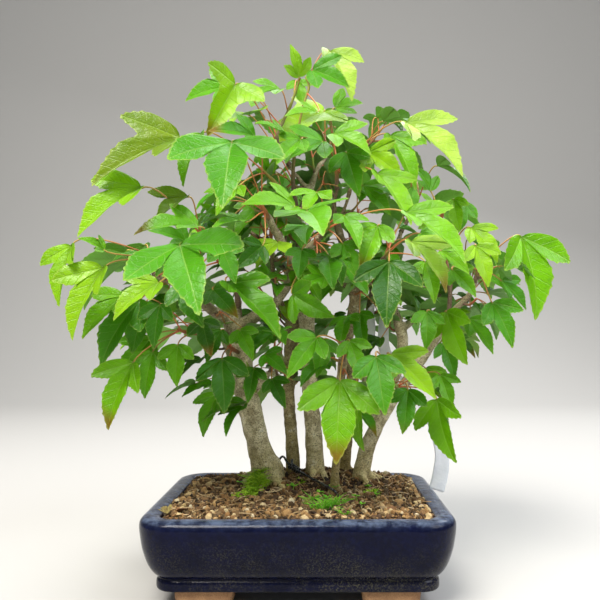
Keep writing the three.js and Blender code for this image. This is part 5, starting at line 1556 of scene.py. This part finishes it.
ribs = add(tree, "Math", main_veins, chosen, operation="MAXIMUM")
quilt = add(tree, "Math", 1, ribs, operation="SUBTRACT")
swell = add(tree, "TexNoise", flat, Scale=11, Detail=3)
normal = bumped(tree, [(swell, 1.6, 0.6), (quilt, 0.26, 0.7), (net_lines, -0.1, 0.6), (grain, 0.05, 0.5)])
gloss = add(tree, "Math", grain, 0.16, 0.24, operation="MULTIPLY_ADD")
rough = add(tree, "Math", add(tree, "Math", under, 0.25, operation="MULTIPLY"), gloss)
surface = add(tree, "BsdfPrincipled", Base_Color=body, Roughness=rough, IOR=1.42, Normal=normal,
              Specular_IOR_Level=0.6)
through = painted(tree, body, (0.5, None, "#b4e01a"))
glow = add(tree, "BsdfTranslucent", Color=through, Normal=normal)
add(tree, "OutputMaterial", add(tree, "MixShader", 0.42, surface, glow))
print("leaf material:", len(tree.nodes), "nodes")

# %% [markdown]
# ### Stalks and young twigs
#
# The stalks are thin, smooth and flushed with red on the sunny side. The year's twigs are brown
# with a grey bloom where they start, and green or red where they still grow. Both are tubes along
# smooth curves. A stalk leaves the twig along its own way and meets the blade from behind, and a
# small swelling sits at each end.

# %% Stalk and twig materials
stalk_skin, tree = new_material("flushed_leaf_stalk")
tone, spare, share = toned(tree)
sunny = add(tree, "Math", tone, 0.5, operation="MULTIPLY")
colour = painted(tree, "#c2583a", (share, None, "#a39a3c"), (sunny, None, "#cf8458"))
shader = add(tree, "BsdfPrincipled", Base_Color=colour, Roughness=0.42, IOR=1.45)
add(tree, "OutputMaterial", shader)

twig_bark, tree = new_material("young_maple_twig")
place = object_place(tree)
fine = add(tree, "TexNoise", place, Scale=0.8, Detail=5, Roughness=0.7)
dots = add(tree, "TexVoronoi", place, Scale=0.7)
reach, flush, _ = toned(tree)
new_growth = painted(tree, "#7f9a2e", (flush, None, "#b0603c"))
colour = painted(tree, "#5b4636", (fine, [(0.35, 0), (0.65, 1)], "#85705a"),
                 (dots, [(0.1, 0.8), (0.2, 0)], "#b09c80"), (reach, [(0.25, 0), (0.7, 0.9)], new_growth))
shader = add(tree, "BsdfPrincipled", Base_Color=colour, Roughness=0.7, IOR=1.45,
             Normal=bumped(tree, [(fine, 0.2, 0.7)]))
add(tree, "OutputMaterial", shader)
print("stalk and twig materials ready")

# %% [markdown]
# A leaf is its stalk and its blade. The stalk is a cubic curve with a swelling at each end. The
# tone layer carries how light the blade is, whether it has brown spots, and which face it is.

# %% Stalk, blade and twig
STALK_SIDES = 6


def stalk_curve(leaf):
    _, axis, up, _ = blade_frame(leaf)
    root, base = leaf["root"], leaf["base"]
    reach = np.linalg.norm(base - root)
    out = unit(base - root)
    first = root + (out * 0.35 + UP * 0.1) * reach
    last = base - axis * reach * 0.22 - up * reach * 0.03
    t = np.linspace(0, 1, 12)[:, None]
    path = ((1 - t) ** 3 * root + 3 * (1 - t) ** 2 * t * first
            + 3 * (1 - t) * t**2 * last + t**3 * (base + axis * 0.4))
    swell = 0.52 + 0.3 * np.exp(-((t[:, 0] / 0.08) ** 2)) + 0.12 * np.exp(-(((1 - t[:, 0]) / 0.06) ** 2))
    return path, swell


def shares_along(path, sides):
    """How far along its tube each point of it lies, from 0 to 1"""
    return np.append(np.repeat(np.linspace(0, 1, len(path)), sides), [0, 1])


def tone_layer(points, *values):
    """Three numbers for each point, and an alpha of one"""
    return np.column_stack([np.broadcast_to(value, len(points)) for value in (*values, 1.0)])


def add_leaf(build, leaf, rng, tone, size=1.0, spot=None, rings=RINGS):
    path, radii = stalk_curve(leaf)
    points, faces = tube(path, radii * size, STALK_SIDES)
    tones = tone_layer(points, rng.uniform(), 0.0, shares_along(path, STALK_SIDES))
    build.add(points, faces, 1, tones)
    points, faces, flat, nearness = blade_mesh(leaf, rng, rings)
    drawn = rng.uniform()
    tones = tone_layer(points, tone, drawn if spot is None else spot, nearness)
    build.add(points, faces, 0, tones, flat)


def add_twig(build, places, radii, sides=8):
    path, sizes = smooth_path(places, radii, 3.0)
    joints = np.array([np.min(np.linalg.norm(np.asarray(places) - p, axis=1)) for p in path])
    points, faces = tube(path, sizes * (1 + 0.25 * np.exp(-((joints / 1.6) ** 2))), sides)
    flush = 0.5 + 0.5 * math.sin(path[0].sum())
    build.add(points, faces, 2, tone_layer(points, shares_along(path, sides), flush, flush))


print("sides of a stalk:", STALK_SIDES)

# %% [markdown]
# ### How light each leaf is
#
# In the photograph the leaves at the top and at the ends are lime, and the ones in the middle are
# deep green. The tones below follow it, shoot by shoot in the order of their rows. The leaves at
# the back draw theirs.

# %% Leaves of each shoot
DARK, DEEP, GREEN, FRESH, LIGHT, LIME, PALE, OLIVE = 0.08, 0.24, 0.4, 0.52, 0.64, 0.76, 0.9, 1.0
# The lime tones at the top and the ends and the deep ones in the middle and below are partly the leaves'
# own greens, partly painted light and painted shade.
TONES_AND_PAINTED_LIGHT = {
    "left_shoulder": [OLIVE, GREEN, GREEN, LIGHT, FRESH, DEEP],
    "far_left": [LIME, OLIVE, FRESH, LIGHT, GREEN, DEEP],
    "left_middle": [LIME, LIME, LIGHT, LIME, LIGHT, GREEN, PALE],
    "front_left": [GREEN, DEEP, FRESH, DEEP, GREEN],
    "low_left": [LIGHT, FRESH, FRESH, GREEN, DEEP, FRESH, DARK],
    "trunk_left": [DEEP, FRESH, FRESH, DEEP],
    "low_middle": [GREEN, DEEP, DEEP, DEEP],
    "front_fan": [LIGHT, LIGHT, FRESH, LIGHT, GREEN, FRESH, FRESH],
    "upper_left": [FRESH, LIGHT, LIGHT, FRESH],
    "upper_middle": [LIME, GREEN, PALE, LIGHT, FRESH, FRESH],
    "top_left": [LIME, FRESH, FRESH, LIGHT, LIME, LIGHT],
    "top_right": [LIGHT, LIME, FRESH, FRESH, GREEN, LIGHT, PALE, LIGHT, LIME, FRESH],
    "right_front": [PALE, FRESH, DARK, LIGHT, LIGHT, FRESH],
    "right_top": [LIGHT, LIGHT, LIGHT, FRESH, LIME, LIGHT, FRESH, FRESH],
    "far_right": [LIGHT, LIME, GREEN, FRESH, GREEN],
    "right_middle": [LIGHT, FRESH, GREEN, FRESH],
    "low_right": [GREEN, LIME, GREEN, LIGHT, FRESH, LIGHT],
    "low_front": [LIGHT, FRESH, FRESH, FRESH, LIGHT],
    "middle_left": [DEEP, GREEN, DEEP, GREEN],
    "middle": [FRESH, FRESH, DEEP, GREEN],
}
BROWN_TIPS = {"low_front": [0], "right_front": [0], "low_left": [0]}


def leaf_tone(name, number, rng):
    drawn = float(np.clip(rng.normal(0.5, 0.2), 0.04, 0.92))
    chosen = TONES_AND_PAINTED_LIGHT.get(name, [])
    return chosen[number] + (drawn - 0.5) * 0.12 if number < len(chosen) else drawn


total = 0
for index, (name, shoot) in enumerate(shoots.items()):
    rng = np.random.default_rng(100 + index)
    build = Build()
    add_twig(build, shoot["places"], shoot["radii"])
    for number, leaf in enumerate(shoot["leaves"]):
        tip_spot = 1.0 if number in BROWN_TIPS.get(name, []) else None
        add_leaf(build, leaf, rng, leaf_tone(name, number, rng), spot=tip_spot)
    piece = build.piece("foliage_" + name, [leaf_green, stalk_skin, twig_bark])
    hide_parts("leaves_" + name)
    total += len(piece.data.polygons)
print("foliage:", total, "faces in", len(shoots), "pieces")

# %% [markdown]
# ### Small leaves inside the crown
#
# Short twigs with one to three small leaves grow straight out of the older limbs, where buds
# woke up after pruning. They fill the middle of the crown. Each twig starts at a drawn place on
# a limb and is kept only where its leaves have room between the others.

# %% Inner twigs
INNER = {"seed": 77, "tries": 1600, "low": 122, "high": 345, "room": 10.2, "most": 96}


def leaf_middle(leaf):
    return leaf["base"] * 0.55 + leaf["tip"] * 0.45


def inner_twig(rng, start, outwards):
    reach = rng.uniform(5, 16)
    places = [start, start + (outwards + UP * 0.3) * reach * 0.5, start + (outwards + UP * 0.7) * reach]
    leaves = []
    for _ in range(rng.integers(1, 4)):
        way = unit(outwards + rng.normal(size=3) * 0.6 + UP * 0.3)
        base = places[-1] + way * rng.uniform(9, 24)
        hang = unit(np.array([way[0], way[1], 0]) + rng.normal(size=3) * 0.15)
        hang[2] = -rng.uniform(0.2, 1.1)
        tip = base + unit(hang) * rng.uniform(20, 38)
        facing = unit([way[0], way[1], rng.uniform(0.7, 1.6)])
        leaves.append({"root": places[-1], "base": base, "tip": tip, "facing": facing,
                       "roll": rng.uniform(-0.5, 0.5), "fold": rng.uniform(0.1, 0.45),
                       "lobe": rng.uniform(0.5, 0.66), "splay": rng.uniform(0.75, 1.0)})
    return places, leaves


def has_room(leaf, taken):
    return all(np.linalg.norm(leaf_middle(leaf) - other) > INNER["room"] for other in taken)


rng = np.random.default_rng(INNER["seed"])
limb_ends = []
for limbs in STEMS.values():
    for limb in limbs:
        rows = np.array([placed(*row[:3]) for row in limb])
        limb_ends += [(rows[i], rows[i + 1], limb[i][3]) for i in range(len(rows) - 1)]
taken = [leaf_middle(leaf) for shoot in shoots.values() for leaf in shoot["leaves"]]
CROWN = np.array([13.0, 0, 240])
# Inner leaves draw darker greens, as painted shade inside the crown.
INNER_SHADE_TONE = {"middle": 0.36, "spread": 0.2, "least": 0.02, "most": 0.85}
twigs = []
for _ in range(INNER["tries"]):
    first, last, radius = limb_ends[rng.integers(len(limb_ends))]
    share = rng.uniform()
    start = first + (last - first) * share
    if not INNER["low"] < start[2] < INNER["high"] or len(twigs) >= INNER["most"]:
        continue
    limb_way = unit(last - first)
    outwards = np.cross(limb_way, unit(rng.normal(size=3)))
    outwards = unit(outwards + unit(start - CROWN) * 0.5)
    places, leaves = inner_twig(rng, start + outwards * radius * 0.5, outwards)
    leaves = [leaf for leaf in leaves if has_room(leaf, taken)]
    if leaves:
        taken += [leaf_middle(leaf) for leaf in leaves]
        twigs.append((places, leaves))

for side, name in ((-1, "inner_foliage_left"), (1, "inner_foliage_right")):
    build = Build()
    for places, leaves in twigs:
        if (places[0][0] > 5) != (side > 0):
            continue
        add_twig(build, places, [1.1, 0.9, 0.7], 6)
        for leaf in leaves:
            tone = np.clip(rng.normal(INNER_SHADE_TONE["middle"], INNER_SHADE_TONE["spread"]), INNER_SHADE_TONE["least"], INNER_SHADE_TONE["most"])
            add_leaf(build, leaf, rng, float(tone), 0.8, rings=INNER_RINGS)
    piece = build.piece(name, [leaf_green, stalk_skin, twig_bark])
    print(name, len(piece.data.polygons), "faces")

# %% [markdown]
# ## Life on the soil
#
# The photograph shows moss at the foot of the left stem, a few weeds and clover sprouts at the
# front, thin pale roots between the stems, and dry leaf bits on the left rim. Each is drawn where
# it is seen: the line of sight through its pixel is followed down to the soil.

# %% Moss, weeds and sprouts
SOIL_BACK = 60
ROOTED = 0.4


def ground(u, v):
    """The soil seen at a pixel. A line of sight that just clears it is held above its back"""
    place = on_ground(u, v)
    place[1] = min(place[1], SOIL_BACK)
    place[2] = soil_height(place[0], place[1]) - ROOTED
    return place


def tuft(build, rng, middle, spread, count, height, thick, lean, tones, rise=0.0):
    """Fine curved blades that stand up from a round patch, which may rise to a cushion"""
    for _ in range(count):
        turn, away = rng.uniform(0, 2 * math.pi), spread * math.sqrt(rng.uniform())
        out = np.array([math.cos(turn), math.sin(turn), 0])
        foot = middle + out * away
        foot[2] = soil_height(foot[0], foot[1]) - 0.3 + rise * (1 - (away / spread) ** 2)
        tall = rng.uniform(*height) * (1.15 - 0.6 * away / spread)
        way = out * rng.uniform(0, lean) + np.array([*rng.normal(size=2) * lean * 0.6, 0])
        path = [foot, foot + (UP + way * 0.4) * tall * 0.5, foot + (UP * 0.8 + way * 1.2) * tall]
        points, faces = tube(path, [thick, thick * 0.8, thick * 0.25], 4)
        build.add(points, faces, 0, (rng.uniform(*tones), rng.uniform(), rng.uniform(), 1))


def sprout(build, rng, foot, height, leaflets, size):
    """A thin stalk with a whorl of round leaflets, as on young clover"""
    top = foot + UP * height + np.array([*rng.normal(size=2) * height * 0.25, 0])
    points, faces = tube([foot, (foot + top) / 2 + rng.normal(size=3) * 0.3, top], [0.35, 0.3, 0.25], 5)
    build.add(points, faces, 0, (0.75, 0.5, 0.5, 1))
    for k in range(leaflets):
        turn = 2 * math.pi * k / leaflets + rng.uniform(-0.3, 0.3)
        out = np.array([math.cos(turn), math.sin(turn), rng.uniform(0.1, 0.5)])
        points, faces = BALL_FINE
        side = np.cross(out, UP)
        shape = (np.outer(points[:, 0], out) * size * 0.6 + np.outer(points[:, 1], side) * size * 0.42
                 + np.outer(points[:, 2], UP) * 0.3)
        tone = (rng.uniform(0.5, 0.95), rng.uniform(), 0.5, 1)
        build.add(shape + top + out * size * 0.55, faces, 0, tone)


print("the moss stands at", ground(256, 489).round(1))

# %% [markdown]
# Each row is a patch: the pixel where it is seen, its spread, the number of its blades and their
# heights. A sprout has its height, the number of its leaflets and their size.

# %% Plant the patches
rng = np.random.default_rng(404)
moss = Build()
for u, v, spread, count, height, rise in (
    (256, 489, 7, 430, (3, 7), 7), (261, 486, 6, 400, (3, 6.5), 10), (253, 493, 6, 250, (2, 5), 2),
    (246, 496, 7, 300, (1.2, 3.4), 1), (236, 497, 6, 160, (1, 2.6), 1), (300, 484, 5, 90, (1, 2.4), 0),
    (372, 494, 7, 160, (1, 3), 1), (366, 474, 4, 90, (1, 2.2), 0),
):
    tuft(moss, rng, ground(u, v), spread, count, height, 0.5, 0.8, (0.1, 1.0), rise)
weeds = Build()
for u, v, spread, count, height in (
    (322, 510, 8, 70, (6, 12)), (336, 506, 6, 44, (5, 11)), (312, 503, 5, 34, (5, 10)),
    (345, 514, 5, 18, (3, 6)), (264, 482, 5, 18, (5, 10)), (252, 480, 4, 12, (5, 9)),
):
    tuft(weeds, rng, ground(u, v), spread, count, height, 0.4, 0.9, (0.45, 1.0))
for u, v, height, leaflets, size in (
    (294, 493, 5, 3, 3.4), (290, 489, 3, 3, 2.6), (336, 493, 5, 4, 2.6), (332, 489, 3, 3, 2.4),
    (357, 503, 5, 4, 2.8), (361, 508, 3, 3, 2.4), (318, 497, 4, 3, 3), (368, 490, 4, 4, 2.4),
    (376, 500, 3, 3, 2.2), (327, 502, 4, 3, 3), (243, 486, 4, 3, 2.6),
):
    sprout(weeds, rng, ground(u, v), height, leaflets, size)

# %% [markdown]
# Moss and weeds are the same soft green tissue. It is matt, and it lets some light through.

# %% Materials of the small plants
def soft_plant(name, stops):
    material, tree = new_material(name)
    first, second, _ = toned(tree)
    light = add(tree, "Math", second, 0.3, operation="MULTIPLY")
    colour = painted(tree, add(tree, "ValToRGB", first, stops=stops), (light, None, "#a3c83c"))
    shader = add(tree, "BsdfPrincipled", Base_Color=colour, Roughness=0.6, IOR=1.42)
    glow = add(tree, "BsdfTranslucent", Color=colour)
    add(tree, "OutputMaterial", add(tree, "MixShader", 0.3, shader, glow))
    return material


moss_green = soft_plant("cushion_moss", [(0, "#659a18"), (0.5, "#9ccf26"), (1, "#d6f04c")])
weed_green = soft_plant("soft_weed_leaf", [(0, "#2f8412"), (0.6, "#5cbc20"), (1, "#98dc3c")])
for build, name, material in (
    (moss, "moss_cushions", moss_green),
    (weeds, "weeds_and_sprouts", weed_green),
):
    piece = build.piece(name, [material])
    print(name, len(piece.data.polygons), "faces")

# %% [markdown]
# ### Fine roots and dry scraps
#
# Fine roots lie on the soil between the stems, pale where they are washed clean, and short fibres
# lie all over it. They are tubes with a slight shake along their way.

# %% Fine roots
rootlets = Build()
SEEN_ROOTS = [
    [(306, 471), (316, 474), (326, 473), (338, 479)], [(322, 470), (330, 474), (331, 479), (340, 483)],
    [(345, 474), (352, 471), (362, 473), (372, 478)], [(300, 478), (312, 481), (322, 478), (334, 484)],
    [(350, 474), (356, 480), (368, 482), (376, 488)], [(276, 484), (288, 487), (296, 484), (308, 489)],
    [(340, 472), (346, 475), (343, 480), (350, 485)], [(310, 474), (306, 480), (314, 487), (312, 493)],
    [(262, 491), (272, 495), (284, 492), (292, 498)], [(382, 475), (392, 479), (398, 477), (408, 483)],
]
for row in SEEN_ROOTS:
    places = [ground(u, v) + UP * rng.uniform(0.6, 2.2) for u, v in row]
    places[0][2] -= 1.5
    places[-1][2] -= 1.8
    path, radii = smooth_path(places, np.linspace(rng.uniform(0.7, 1.1), 0.3, len(places)), 1.5)
    path += rng.normal(size=path.shape) * 0.18
    rootlets.add(*tube(path, radii, 6), 0, (rng.uniform(0.3, 1), rng.uniform(), 0.5, 1))
for _ in range(420):
    x, y = rng.uniform(-84, 84), rng.uniform(-62, 62)
    if not on_soil(x, y, 6):
        continue
    turn, length = rng.uniform(0, 2 * math.pi), rng.uniform(4, 13)
    steps = np.array([[math.cos(turn), math.sin(turn)], [math.cos(turn + 0.5), math.sin(turn + 0.5)]])
    start = np.array([x, y])
    spots = [start, start + steps[0] * length / 2, start + steps.sum(0) * length / 2]
    places = [[*spot, soil_height(*spot) + rng.uniform(0.8, 2.6)] for spot in spots]
    path = smooth_path(places, step=1.5)
    rootlets.add(*tube(path, rng.uniform(0.18, 0.4), 5), 0, (rng.uniform(0.2, 1), rng.uniform(), 0.5, 1))
root_skin = grain_material(
    "washed_root_bark", [(0, "#6a4c30"), (0.5, "#a8895c"), (1, "#d8c29a")], "#7a5c3a", 0.85)
piece = rootlets.piece("fine_roots", [root_skin])
print("fine roots:", len(piece.data.polygons), "faces")

# %% [markdown]
# Dry scraps of leaf lie on the left rim and here and there on the soil, curled and brown. They
# are small maple leaves of the same form as the fresh ones, only shrunk.

# %% Dry scraps
dry_leaf, tree = new_material("dry_maple_leaf")
tone, spare, _ = toned(tree)
place = object_place(tree)
crackle = add(tree, "TexNoise", place, Scale=0.9, Detail=5)
dry_browns = add(tree, "ValToRGB", tone, stops=[(0, "#5e3d26"), (0.5, "#96693f"), (1, "#8f8a4c")])
colour = painted(tree, dry_browns, (crackle, [(0.4, 0), (0.65, 0.8)], "#4f3524"))
shader = add(tree, "BsdfPrincipled", Base_Color=colour, Roughness=0.8, IOR=1.45,
             Normal=bumped(tree, [(crackle, 0.4, 0.7)]))
add(tree, "OutputMaterial", shader)
dry = Build()
for x, y, z, size, turn, shade in (
    (-84, -58, 58.2, 12, 2.2, 0.9), (-80, -52, 57.6, 9, 0.4, 0.3), (-76, -60, 57.5, 7, 4.1, 0.6),
    (62, -48, 57, 9, 1.2, 0.4), (20, 58, 57.2, 8, 3.0, 0.2), (-40, 52, 57.4, 8, 5.2, 0.5),
    (70, 30, 57, 9, 0.9, 0.3), (-66, 10, 57.1, 8, 2.7, 0.15),
):
    base = np.array([x, y, z], float)
    tip = base + np.array([math.cos(turn), math.sin(turn), 0.12]) * size
    leaf = {"base": base, "tip": tip, "facing": UP, "roll": rng.uniform(-0.4, 0.4),
            "fold": rng.uniform(0.4, 0.8), "lobe": 0.6, "splay": 0.9}
    points, faces, flat, _ = blade_mesh(leaf, rng, INNER_RINGS)
    dry.add(points, faces, 0, (shade, rng.uniform(), 0.5, 1), flat)
piece = dry.piece("dry_leaf_bits", [dry_leaf])
print("dry bits:", len(piece.data.polygons), "faces")

# %% [markdown]
# ## Tie wire
#
# The root ball is tied down with a black anodised aluminium wire. It comes up behind the left
# stem, is twisted into a knot with pliers, and runs taut to the soil in front of the thin stem.
# The two ends are wound round each other, which a pair of helices gives.

# %% Wire and its knot
WIRE_ROUTE = [
    [-23, 66, 58], [-14.2, 84.3, 41], [-9.5, 80.5, 34], [-6.5, 77.8, 31], [-2.2, 74.8, 28],
    [1, 72.8, 25], [12, 67, 12], [20, 62.6, -1], [25.8, 59, -5], [28.5, 52, -7],
]
KNOT = [-4.3, 76.3, 29.5]
WIRE_RADIUS = 0.9
anodised, tree = new_material("black_anodised_aluminium")
place = object_place(tree)
scuffs_and_glints = add(tree, "TexNoise", place, Scale=1.2, Detail=4)
# The pale scuffs are worn anodising and also painted glints.
colour = painted(tree, "#131416", (scuffs_and_glints, [(0.5, 0), (0.66, 0.9)], "#85878b"))
shader = add(tree, "BsdfPrincipled", Base_Color=colour, Metallic=0.6, Roughness=0.38)
add(tree, "OutputMaterial", shader)

wire = Build()
route = smooth_path([placed(*row) for row in WIRE_ROUTE], step=1.5)
wire.add(*tube(route, WIRE_RADIUS, 10))
along = unit(placed(*WIRE_ROUTE[4]) - placed(*WIRE_ROUTE[3]))
across = unit(np.cross(along, UP))
other = np.cross(across, along)
steps = np.linspace(-1, 1, 60)[:, None]
for half in (0, math.pi):
    turns = steps * 2.2 * math.pi + half
    coil = placed(*KNOT) + along * steps * 4.4 + 1.7 * (np.cos(turns) * across + np.sin(turns) * other)
    cut_end = coil[0] - along * 1.4 + (UP * (2.4 if half else -2.2) - across * 2.2)
    wire.add(*tube(np.vstack([[cut_end], coil]), 1.0, 8))
wire_piece = wire.piece("twisted_tie_wire", [anodised])
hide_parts("tie_wire")
print("wire:", len(wire_piece.data.polygons), "faces")

# %% [markdown]
# ## Label strip
#
# A blank strip of thin white plastic is looped round a limb and hangs down behind the pot's
# rim. It is soft from the sun and a little crumpled. A ribbon along a smooth route, with a
# shallow wave across it, has the right stiffness. Cloth would hang too softly.

# %% Strip
LABEL_ROUTE = [
    [49, 166, 45, 0.1], [50, 179, 45.5, 0.4], [52, 191, 46, 0.9], [57, 199, 48, 1.5], [62, 192, 52, 2],
    [61, 178, 52, 2.2], [62, 164, 49, 2.2], [69, 151, 49, 1.9], [80, 134, 50, 1.6], [92, 117, 56, 1],
    [101, 100, 60, 0.5], [104, 86, 60, 0.2], [103, 72, 56, 0], [100, 60, 50, -0.2],
]
LABEL = {"width": 12.5, "thick": 0.35, "steps": 8}
film, tree = new_material("weathered_polyethylene_film")
place = object_place(tree)
clouds = add(tree, "TexNoise", place, Scale=0.15, Detail=5)
wrinkles = add(tree, "TexNoise", place, Scale=0.35, Detail=3)
colour = painted(tree, "#f8f9fa", (clouds, [(0.4, 0), (0.7, 1)], "#e9ebef"))
shader = add(tree, "BsdfPrincipled", Base_Color=colour, Roughness=0.3, IOR=1.5,
             Normal=bumped(tree, [(wrinkles, 1.2, 0.5)]))
see_through = add(tree, "BsdfTranslucent", Color="#f4f6fa")
add(tree, "OutputMaterial", add(tree, "MixShader", 0.4, shader, see_through))

rows = np.array([[*placed(*row[:3]), row[3]] for row in LABEL_ROUTE])
route, twists = smooth_path(rows[:, :3], rows[:, 3], 1.6)
along = np.gradient(route, axis=0)
along /= np.linalg.norm(along, axis=1, keepdims=True)
rings = []
for i, (place, way, twist) in enumerate(zip(route, along, twists)):
    wide = np.array([math.cos(twist), math.sin(twist), 0])
    wide = unit(wide - way * (wide @ way))
    thin = np.cross(way, wide)
    ring = []
    for face in (-1, 1):
        shares = np.linspace(-1, 1, LABEL["steps"] + 1)[:: -face]
        for share in shares:
            crease = 0.5 * math.sin(i * 0.32 + share * 2.2) + 0.3 * math.sin(i * 0.11) * share
            ring.append(place + wide * share * LABEL["width"] / 2
                        + thin * (crease + face * LABEL["thick"] / 2))
    rings.append([tuple(p) for p in ring])
points, faces = skin(rings)
strip = make_piece("label_film", points, faces, [film])
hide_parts("label_strip")
print("strip:", len(faces), "faces")

# %% Write the sizes and finish
DRESSED_BOX = [list(corner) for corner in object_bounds()]
for label_text, box in (("solids", SOLID_BOX), ("dressed", DRESSED_BOX)):
    print(label_text, [[round(v / MM, 1) for v in corner] for corner in box])
